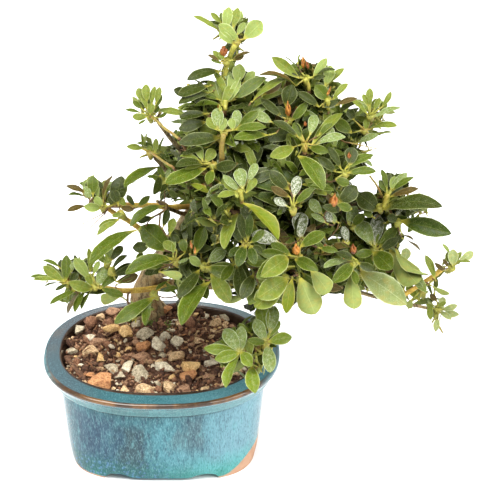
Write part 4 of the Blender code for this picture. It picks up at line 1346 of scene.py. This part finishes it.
# The crown's outline against the sky, clockwise from the leader, and gaps through it as circles, in pixels.
# No grown leaf crosses them.
CROWN_OUTLINE = np.array((
    (228, 6), (244, 10), (262, 20), (258, 38), (239, 46), (236, 58), (234, 66), (262, 77), (283, 77),
    (290, 68), (274, 56), (296, 66), (301, 54), (312, 66), (326, 58), (330, 70), (343, 68), (331, 82),
    (347, 83), (333, 98), (352, 97), (360, 100), (367, 88), (376, 98), (391, 92), (386, 108), (396, 112),
    (384, 122), (394, 128), (376, 140), (352, 140), (358, 152), (372, 152), (374, 172), (350, 178),
    (354, 190), (378, 196), (382, 172), (404, 172), (412, 186), (400, 198), (434, 202), (432, 214),
    (408, 218), (446, 230), (440, 237), (404, 236), (398, 250), (420, 276), (428, 284), (452, 250),
    (474, 254), (442, 282), (430, 290), (452, 300), (440, 326), (424, 312), (400, 302), (372, 288),
    (358, 292), (352, 308), (336, 292), (322, 296), (312, 312), (300, 300), (286, 312), (278, 302),
    (276, 316), (292, 338), (270, 352), (266, 378), (250, 388), (232, 374), (206, 358), (208, 346),
    (232, 324), (252, 318), (244, 302), (222, 296), (204, 284), (184, 318), (176, 300), (150, 320),
    (122, 320), (128, 302), (104, 302), (90, 300), (72, 308), (58, 300), (66, 286), (34, 276), (46, 260),
    (74, 254), (98, 258), (106, 272), (124, 262), (130, 272), (150, 262), (170, 256), (142, 240), (146, 226),
    (130, 214), (110, 214), (86, 208), (70, 208), (88, 194), (68, 188), (92, 174), (112, 176), (134, 168),
    (156, 168), (166, 186), (164, 168), (144, 152), (130, 148), (146, 132), (160, 146), (176, 144),
    (170, 130), (150, 116), (128, 110), (134, 92), (156, 86), (162, 102), (172, 118), (172, 104), (176, 90),
    (190, 78), (214, 80), (222, 66), (221, 56), (226, 46), (224, 36), (196, 18), (220, 14),
), float)
SKY_GAPS = np.array((
    (272, 82, 5), (264, 92, 3), (255, 97, 3), (206, 70, 6), (178, 80, 4), (352, 106, 4), (364, 180, 8),
    (384, 158, 6), (341, 138, 3), (322, 180, 3), (334, 180, 3), (390, 214, 2), (150, 188, 9), (138, 192, 6),
    (163, 216, 5), (174, 208, 4), (228, 216, 4), (212, 206, 3), (332, 238, 5), (132, 250, 5), (126, 244, 5),
    (236, 248, 3), (248, 56, 6), (162, 268, 3), (398, 160, 12), (184, 196, 3), (272, 68, 7), (354, 74, 9),
    (330, 300, 8), (391, 104, 5), (389, 121, 4), (303, 182, 3), (166, 118, 4), (169, 139, 3), (122, 251, 4),
    (428, 277, 4),
), float)


def in_sky(foot, tip):
    """Whether a leaf from foot to tip would cross open sky."""
    a, b = on_picture(foot), on_picture(tip)
    side = np.array([b[1] - a[1], a[0] - b[0]]) * 0.14
    spots = np.array([a + (b - a) * 0.4, b, a + (b - a) * 0.7 + side, a + (b - a) * 0.7 - side])
    if (np.hypot(*(spots[:, None] - SKY_GAPS[:, :2]).T) < SKY_GAPS[:, 2:]).any():
        return True
    following = np.roll(CROWN_OUTLINE, -1, 0)
    for u, v in spots:
        crossed = (CROWN_OUTLINE[:, 1] > v) != (following[:, 1] > v)
        first, last = CROWN_OUTLINE[crossed], following[crossed]
        at = first[:, 0] + (v - first[:, 1]) * (last[:, 0] - first[:, 0]) / (last[:, 1] - first[:, 1])
        if (at > u).sum() % 2 == 0:
            return True
    return False


# Bark that shows between the leaves: pixel and radius of circles that no grown leaf comes before.
SEEN_BARK = np.array(((177, 220, 5), (184, 209, 5), (176, 230, 3), (147, 286, 8), (137, 293, 5)), float)
# Shoots over the masses: area for each try, how far apart they stand, how far under the skin, and how far
# their leaves may leave the mass. Where a mass is thick there is a second shoot deeper in.
SHOOT_AREA = 22
SHOOT_SPACING = 10.0
SHOOT_DEPTH = 8.0
INNER_DEPTH = 19.0
STRAY = 3.0
# How deep a place has to lie in a mass to count as inside it, and how deep one lies where a mass is thick.
BURIED, THICK = 2.0, 8.0
# Skin that faces down more than DOWNWARD, as its normal's height, goes without a shoot this often.
DOWNWARD, DOWNWARD_BARE = -0.55, 0.45
# Painted shade: the deeper second shoots get the darkest tints.
INNER_TINTS = "dde"
# Shoots along the limbs: how far out they stand, how far from any other, how far their leaves may leave a
# mass, and the pixel column that they start from: the crown is open to the left of it.
INNER_LEFT = 184
INNER_REACH = (7.0, 16.0)
INNER_SPACING = 9.0
INNER_STRAY = 14.0
# Painted shade: shoots along the limbs, deep in the crown, get mostly the darkest tints.
LIMB_TINTS = "ddem"
# How much of the trunk and of every other limb, from its foot, stays without shoots.
TRUNK_BARE, LIMB_BARE = 0.45, 0.2
BACKWARD = np.array([0.0, 0.35, 0.0])
# For the tint of a shoot's older leaves that of its youngest, and the angle from each leaf to the next.
YOUNGER = dict(zip("dmlgoepnufb", "mlndymwnllb"))
LEAF_TURN = 2.39996
# Grown leaves: how many on a shoot, always fewer than the second number, the length of the oldest, half the
# width as a share of the length, and the shortest that is kept.
GROWN_LEAVES = (6, 10)
GROWN_LENGTH = (17, 25)
GROWN_WIDTH = (0.15, 0.2)
SHORTEST_LEAF = 8.0
# How far the oldest leans out, in degrees, how much less the youngest does, and the spread.
LEAN, LEAN_LOSS, LEAN_SPREAD = 80, 46, 7
# How much shorter the youngest is, the power by which that sets in, and how far down the shoot leaves sit.
LENGTH_LOSS, LOSS_POWER = 0.42, 1.6
SHOOT_LENGTH = 4.5
# How often a leaf that doesn't fit is shortened, and to what share.
SHORTENINGS, SHORTENED = 4, 0.86


def filled_shoots(crown):
    """Shoots grown over every mass by a seeded rule, wherever the seen ones leave room."""
    random = np.random.default_rng(23)
    for mass, (points, corners, tree) in MASSES.items():
        a, b, c = (points[corners[:, k]] for k in range(3))
        cross = np.cross(b - a, c - a)
        area = np.linalg.norm(cross, axis=1) / 2
        chosen = random.choice(len(corners), size=int(area.sum() / SHOOT_AREA), p=area / area.sum())
        kept = []
        for k in chosen:
            r, s = random.random(2)
            if r + s > 1:
                r, s = 1 - r, 1 - s
            skin = a[k] + (b[k] - a[k]) * r + (c[k] - a[k]) * s
            normal = unit(cross[k])
            if any(np.linalg.norm(skin - other) < SHOOT_SPACING for other in kept):
                continue
            if any(outside_by(skin, other) < -BURIED
                   for name, (_, _, other) in MASSES.items() if name != mass):
                continue
            if normal[2] < DOWNWARD and random.random() < DOWNWARD_BARE:
                continue
            kept.append(skin)
            site = skin - normal * SHOOT_DEPTH
            if outside_by(site, tree) > -BURIED:
                site = skin - normal * SHOOT_DEPTH * 0.5
            axis = unit(0.7 * normal + 0.62 * UP + random.normal(0, 0.14, 3))
            grow_shoot(crown, random, mass, site, axis, MASS_TINTS[mass])
            inner = skin - normal * INNER_DEPTH
            if outside_by(inner, tree) < -THICK:
                tilted = unit(axis + random.normal(0, 0.5, 3))
                grow_shoot(crown, random, mass, inner, tilted, INNER_TINTS)


def inner_shoots(crown, limbs):
    """Shoots along the limbs, in the room that the masses leave between them, mostly at the back."""
    random = np.random.default_rng(31)
    for name, (line, _) in limbs.items():
        heading = unit(np.gradient(np.asarray(line), axis=0))
        first = int(len(line) * (TRUNK_BARE if name == "trunk" else LIMB_BARE))
        for k in range(first, len(line)):
            out = unit(np.cross(heading[k], random.normal(size=3)) + BACKWARD)
            site = line[k] + out * random.uniform(*INNER_REACH)
            if on_picture(site)[0] < INNER_LEFT:
                continue
            if min(np.linalg.norm(site - other) for other, _, _ in crown.sites) < INNER_SPACING:
                continue
            _, mass = nearest_mass(site)
            axis = unit(out + 0.5 * UP + 0.3 * heading[k])
            grow_shoot(crown, random, mass, site, axis, LIMB_TINTS, INNER_STRAY)


def grow_shoot(crown, random, mass, site, axis, tints, stray=STRAY):
    """Six to nine leaves round a shoot, the oldest low and level, each shortened until it fits."""
    tree = MASSES[mass][2]
    if in_sky(site, site):
        return
    main = tints[random.integers(len(tints))]
    count = random.integers(*GROWN_LEAVES)
    size = random.uniform(*GROWN_LENGTH)
    first = unit(np.cross(axis, random.normal(size=3)))
    other = np.cross(axis, first)
    grown = 0
    for k in range(count):
        share = k / (count - 1)
        angle = LEAF_TURN * k + random.normal(0, 0.15)
        lean = math.radians(LEAN - LEAN_LOSS * share + random.normal(0, LEAN_SPREAD))
        way = axis * math.cos(lean) + (first * math.cos(angle) + other * math.sin(angle)) * math.sin(lean)
        length = size * (1 - LENGTH_LOSS * share**LOSS_POWER) * random.uniform(0.82, 1.12)
        stem = site - axis * SHOOT_LENGTH * (1 - share)
        foot = stem + way * 1.5
        for _ in range(SHORTENINGS):
            tip = foot + way * length
            if (outside_by(tip, tree) < stray or nearest_mass(tip)[0] < stray) and not in_sky(foot, tip):
                break
            length *= SHORTENED
        else:
            continue
        if length < SHORTEST_LEAF or hides_front(crown, (foot, (foot + tip) / 2, tip)):
            continue
        tint = main if share < 0.6 or random.random() < 0.4 else YOUNGER[main]
        if random.random() < 0.12:
            tint = tints[random.integers(len(tints))]
        normal = unit(axis - way * (axis @ way))
        crown.leaf(mass, stem, foot, tip, normal, length * random.uniform(*GROWN_WIDTH), tint, random,
                   arch=random.uniform(0.02, 0.14), fold=random.uniform(-0.1, 0.35),
                   broad=random.uniform(0.0, 0.6), kept=SPARE)
        grown += 1
    if grown >= 2:
        crown.sites.append((site, axis, 1.0))
        if random.random() < 0.35:
            crown.buds.append((site + axis * 0.8, axis, random.uniform(0.7, 1.1), int(random.random() < 0.4)))


# ---------------------------------------------------------------- twigs

TIP_RADIUS = 0.42
# A twig is thicker by this power of the number of shoots that it carries.
LOAD_POWER = 0.42
# What it costs a twig to leave its limb at an angle, and to meet its shoot at one.
LEAVING_COST, MEETING_COST = 0.44, 0.5
# Where along it a trunk or a seen stem starts to carry twigs, and where any other limb does.
TWIGS_FROM = {"trunk": 0.42, "stem": 0.35}
BOUGH_TWIGS_FROM = 0.3
# How far a twig runs straight at both of its ends, as a share of its length, and how long its steps are.
TWIG_EASE = 0.35
TWIG_STEP = 5
# Swollen ends of seen and of grown shoots: greatest radius, then places along the axis and their shares.
SEEN_END, GROWN_END = 2.5, 0.9
SHOOT_END = ((-7.0, 0.5), (-3.0, 0.85), (0.6, 1.0))
# How far a seen stem runs behind the leaves by it, and how much further back it starts.
BEHIND_LEAVES, STEM_DIP = 2.0, 4.0
# The lead from a limb to where a stem comes into sight: how little a limb off to the side counts as far, how
# the lead bends back and away from the camera as shares of its length, its steps and those between pixels.
ROOT_EASE = 1.6
LEAD_BACK, LEAD_AWAY = 0.12, 0.5
LEAD_STEPS, STEM_STEPS = 6, 3
# Size of the bends in a stem, and how far they reach.
STEM_SWAY = (5.0, 0.35)
# Stems that stand out, from where they come into sight to the shoot: radii at both ends, kind of bark, and
# the pixels that they pass.
SEEN_STEMS = (
    (1.2, 1.6, 2, ((225, 82), (226, 68), (230, 56), (235, 45))),
    (0.9, 0.8, 1, ((178, 138), (166, 129), (152, 117))),
    (0.8, 0.7, 1, ((172, 167), (160, 159), (150, 152))),
    (1.9, 1.5, 1, ((222, 160), (222, 147), (224, 134))),
    (1.1, 1.5, 2, ((383, 208), (385, 202), (388, 194))),
    (1.0, 1.4, 2, ((293, 212), (293, 208), (293, 204))),
    (1.0, 1.3, 2, ((225, 110), (225, 105), (225, 100))),
    (0.9, 1.4, 2, ((242, 200), (241, 195), (240, 190))),
    (1.1, 1.6, 2, ((305, 151), (305, 147), (304, 143))),
    (0.9, 1.4, 2, ((309, 90), (308, 84), (305, 78))),
    (0.9, 1.4, 2, ((328, 110), (328, 105), (327, 100))),
    (0.7, 0.6, 1, ((382, 196), (377, 186), (370, 176))),
    (0.45, 0.2, 1, ((102, 214), (89, 221), (75, 226))),
    (0.4, 0.2, 1, ((102, 216), (93, 225), (85, 232))),
    (0.5, 0.25, 1, ((350, 143), (364, 146), (378, 149))),
)


def bezier(t, *points):
    """The point at t, from 0 to 1, of the curve led by the points."""
    while len(points) > 1:
        points = [(1 - t) * a + t * b for a, b in zip(points, points[1:])]
    return points[0]


def seen_stems(crown, limbs):
    """Makes the stems that stand out, each led back to a limb that suits it, and adds them to the limbs."""
    build = Builder()
    spots = np.concatenate([np.asarray(line)[len(line) // 3:] for line, _ in limbs.values()])
    for number, (first, last, kind, pixels) in enumerate(SEEN_STEMS):
        ends = [min(sight_depth(*pixel), crown_depth(crown, *pixel) + BEHIND_LEAVES)
                for pixel in (pixels[0], pixels[-1])]
        depths = np.linspace(ends[0] + STEM_DIP, ends[1], len(pixels))
        points = [at_pixel(u, v, depth) for (u, v), depth in zip(pixels, depths)]
        into = unit(points[1] - points[0])
        gap = points[0] - spots
        far = np.linalg.norm(gap, axis=1)
        root = spots[np.argmin(far * (ROOT_EASE - (gap / far[:, None]) @ into))]
        lead = np.linalg.norm(points[0] - root)
        bend = points[0] - into * lead * LEAD_BACK + SIGHT * lead * LEAD_AWAY
        start = [bezier(t, root, bend, points[0]) for t in np.arange(LEAD_STEPS) / LEAD_STEPS]
        route = smooth_line([*start, *points], STEM_STEPS)
        radii = np.interp(np.linspace(0, 1, len(route)), [0, 0.5, 1], [first * 1.15, first, last])
        route = route + wobble(route, *STEM_SWAY)
        turn = LEAD_STEPS * STEM_STEPS
        tube(build, route[: turn + 1], radii[: turn + 1], 8, 0)
        tube(build, route[turn:], radii[turn:], 10, kind)
        limbs["stem_%d" % number] = (route, radii)
    build.piece("twigs_main", [
        twig_look("stem_brown", (84, 56, 30), (136, 102, 62), (140, 106, 48), 0.65),
        twig_look("stem_ochre", (112, 98, 36), (152, 134, 60), (136, 96, 46), 0.5),
        twig_look("stem_green", (128, 128, 40), (164, 160, 62), (150, 128, 48), 0.45),
    ], "bark")


class Network:
    """Points of limbs and twigs, each with the way its limb runs there, the point that it grows from, and
    for a limb's point its radius."""

    def __init__(self, limbs):
        self.places, self.ways, self.parents, self.thick = [], [], [], []
        for name, (line, radii) in limbs.items():
            line = np.asarray(line)
            heading = unit(np.gradient(line, axis=0))
            first = int(len(line) * TWIGS_FROM.get(name.split("_")[0], BOUGH_TWIGS_FROM))
            for k in range(first, len(line)):
                self.add(line[k], heading[k], -1, radii[k])

    def add(self, place, way, parent, thick=0.0):
        self.places.append(place)
        self.ways.append(way)
        self.parents.append(parent)
        self.thick.append(thick)

    def join(self, random, site, axis):
        """Grows a twig to a shoot from the point that suits it best. Returns the twig's points."""
        spots, heads = np.array(self.places), np.array(self.ways)
        gap = site - spots
        far = np.linalg.norm(gap, axis=1) + 1e-6
        straight = np.einsum("ij,ij->i", gap / far[:, None], heads)
        ahead = (gap / far[:, None]) @ axis
        cost = far * (1 + LEAVING_COST * (1 - straight) + MEETING_COST * (1 - ahead))
        cost[far < 2.0] += 6.0
        start = int(np.argmin(cost))
        reach = far[start]
        ease = reach * TWIG_EASE
        curve = spots[start], spots[start] + heads[start] * ease, site - axis * ease, site
        chain = [start]
        for t in np.linspace(0, 1, max(3, int(reach / TWIG_STEP) + 2))[1:]:
            place = bezier(t, *curve)
            if t < 1:
                place = place + random.normal(0, 0.02 * min(reach, 20), 3)
            self.add(place, unit(place - self.places[chain[-1]]), chain[-1])
            chain.append(len(self.places) - 1)
        return chain

    def radii(self, chains):
        """A radius for each point, thicker where more shoots hang on it, and how many do."""
        load = np.zeros(len(self.places))
        for chain in chains:
            k = chain[-1]
            while k != -1:
                load[k] += 1
                k = self.parents[k]
        return TIP_RADIUS * np.maximum(load, 1) ** LOAD_POWER, load


def grow_twigs(crown, limbs):
    """Joins every shoot to the nearest limb or twig, thicker where more shoots hang on it."""
    random = np.random.default_rng(5)
    network = Network(limbs)
    limb_points = np.array(network.places)
    sites = sorted(crown.sites, key=lambda site: np.linalg.norm(limb_points - site[0], axis=1).min())
    chains = [network.join(random, site, axis) for site, axis, _ in sites]
    radius, load = network.radii(chains)
    old, young = Builder(), Builder()
    for chain in chains:
        start = chain[0]
        widest = network.thick[start] * 0.8 if network.parents[start] == -1 else radius[start]
        radii = np.minimum([radius[chain[1]] * 1.15, *radius[chain[1:]]], max(widest, TIP_RADIUS))
        route = [network.places[k] for k in chain]
        last = len(chain) - 1
        turn = next((n for n in range(len(chain) // 2 + 1, last) if load[chain[n]] <= 2), last)
        tube(old, route[: turn + 1], radii[: turn + 1], 8 if radii[0] > 0.9 else 6)
        if turn < last:
            tube(young, route[turn:], radii[turn:], 6)
    for site, axis, weight in crown.sites:
        if weight == 1.0:
            end = SEEN_END if site.tolist() in crown.main else GROWN_END
            tube(young, [site + axis * at for at, _ in SHOOT_END], [end * share for _, share in SHOOT_END], 7)
    for stem, foot, thick in crown.stalks:
        tube(young, [stem, foot], [thick, 0.4], 4)
    brown = twig_look("twig_brown", (70, 48, 28), (116, 88, 54), (128, 104, 50), 0.7)
    green = twig_look("twig_green", (120, 122, 42), (158, 156, 62), (152, 128, 56), 0.5)
    old.piece("twigs_old", [brown], "bark")
    young.piece("twigs_young", [green], "bark")


# Buds that stand out: pixel of the middle, length and width in mm, and material.
SEEN_BUDS = (
    (224, 50, 6.0, 6.0, 2), (303, 61, 9.0, 3.2, 1), (307, 64, 6.0, 2.6, 2), (329, 91, 7.0, 2.2, 1),
    (288, 108, 11.0, 4.6, 1), (305, 123, 3.2, 2.4, 2), (349, 155, 4.6, 3.6, 2), (334, 199, 8.0, 6.4, 1),
    (296, 248, 6.6, 6.0, 1), (353, 248, 6.4, 5.4, 2), (191, 244, 6.0, 1.8, 1), (195, 250, 5.4, 1.8, 1),
    (236, 194, 4.4, 2.8, 0), (220, 108, 5.0, 3.0, 0), (305, 146, 5.0, 3.6, 0),
)


BUD_SIZE = (2.6, 1.5)
# The angle from each bud scale to the next, and along a scale its places and radii, as shares.
SCALE_TURN = 2.4
SCALE_PLACES = (0, 0.3, 0.7, 1)
SCALE_RADII = np.array([0.16, 0.27, 0.15, 0.03])


def crown_depth(crown, u, v):
    """Depth of the nearest seen leaf by a pixel."""
    far = np.hypot(crown.fronts[:, 0] - u, crown.fronts[:, 1] - v)
    return crown.fronts[far < 9.0, 2].min(initial=1e6)


def make_buds(crown):
    random = np.random.default_rng(3)
    build = Builder()
    buds = [(place, axis, BUD_SIZE[0] * size, BUD_SIZE[1] * size, kind)
            for place, axis, size, kind in crown.buds]
    for u, v, length, width, kind in SEEN_BUDS:
        axis = unit(UP - 0.25 * SIGHT + random.normal(0, 0.12, 3))
        depth = min(sight_depth(u, v), crown_depth(crown, u, v) - 1.0)
        buds.append((at_pixel(u, v, depth) - axis * length * 0.5, axis, length, width, kind))
    for place, axis, length, width, kind in buds:
        side = unit(np.cross(axis, RIGHT + 0.3 * UP))
        for turn in range(3 if length < 4 else 5):
            tall = length * (1 - 0.11 * turn)
            out = side * math.cos(SCALE_TURN * turn) + np.cross(axis, side) * math.sin(SCALE_TURN * turn)
            route = [place - axis * 0.4 + axis * t * tall + out * (0.24 * width * math.sin(2.6 * t))
                     for t in SCALE_PLACES]
            tube(build, route, SCALE_RADII * width, 6, kind)
    build.piece("buds", [
        twig_look("bud_green", (126, 134, 48), (160, 162, 70), (170, 130, 60), 0.5),
        twig_look("bud_orange", (132, 78, 22), (198, 136, 56), (148, 82, 28), 0.4),
        twig_look("bud_red", (92, 42, 14), (146, 80, 28), (160, 104, 34), 0.4),
    ], "foliage")


# ---------------------------------------------------------------- floor, light and camera


# Lights: place in mm, size in m, power in W, and whether shiny surfaces mirror it. Each shines at LIT.
LIT = (0, 0, 100)
LIGHTS = {
    "key": ((-450, -450, 1500), 1.0, 38.0, True),
    "fill": ((900, -700, 1100), 0.9, 25.0, True),
    "rear": ((100, 900, 1400), 1.0, 20.0, False),
}
WORLD_LIGHT = 0.5
FLOOR_EDGE = 3.0
FLOOR_CORNERS = [(x * FLOOR_EDGE, y * FLOOR_EDGE, 0) for x, y in ((-1, -1), (1, -1), (1, 1), (-1, 1))]


def make_set():
    scene = bpy.context.scene
    floor = bpy.data.meshes.new("floor")
    floor.from_pydata(FLOOR_CORNERS, [], [(0, 1, 2, 3)])
    floor.materials.append(floor_look())
    ground = bpy.data.objects.new("floor", floor)
    scene.collection.objects.link(ground)

    scene.world = bpy.data.worlds.new("studio")
    scene.world.use_nodes = True
    background = scene.world.node_tree.nodes["Background"].inputs
    background[0].default_value = (1.0, 1.0, 1.0, 1.0)
    background[1].default_value = WORLD_LIGHT
    for name, (place, size, power, mirrored) in LIGHTS.items():
        lamp = bpy.data.lights.new(name, "AREA")
        lamp.size = size
        lamp.energy = power
        item = bpy.data.objects.new(name, lamp)
        scene.collection.objects.link(item)
        item.visible_glossy = mirrored
        item.location = to_row(place)
        item.rotation_euler = (Vector(LIT) - Vector(place)).to_track_quat("-Z", "Y").to_euler()

    lens = bpy.data.cameras.new("camera")
    lens.lens = CAMERA_LENS
    lens.sensor_width = SENSOR
    lens.clip_end = 20.0
    view = bpy.data.objects.new("camera", lens)
    view.location = to_row(CAMERA_PLACE)
    view.rotation_euler = (math.pi / 2 - CAMERA_DOWN, 0, 0)
    scene.collection.objects.link(view)
    scene.camera = view
    scene.view_settings.view_transform = "Standard"


make_pot()
make_soil()
limbs = make_limbs()
crown = Crown()
seen_shoots(crown)
filled_shoots(crown)
inner_shoots(crown, limbs)
for region, build in crown.regions.items():
    build.piece(region, LEAF_MATERIALS, "foliage", ["foliage_" + mass for mass in REGIONS[region]])
seen_stems(crown, limbs)
grow_twigs(crown, limbs)
make_buds(crown)
make_set()
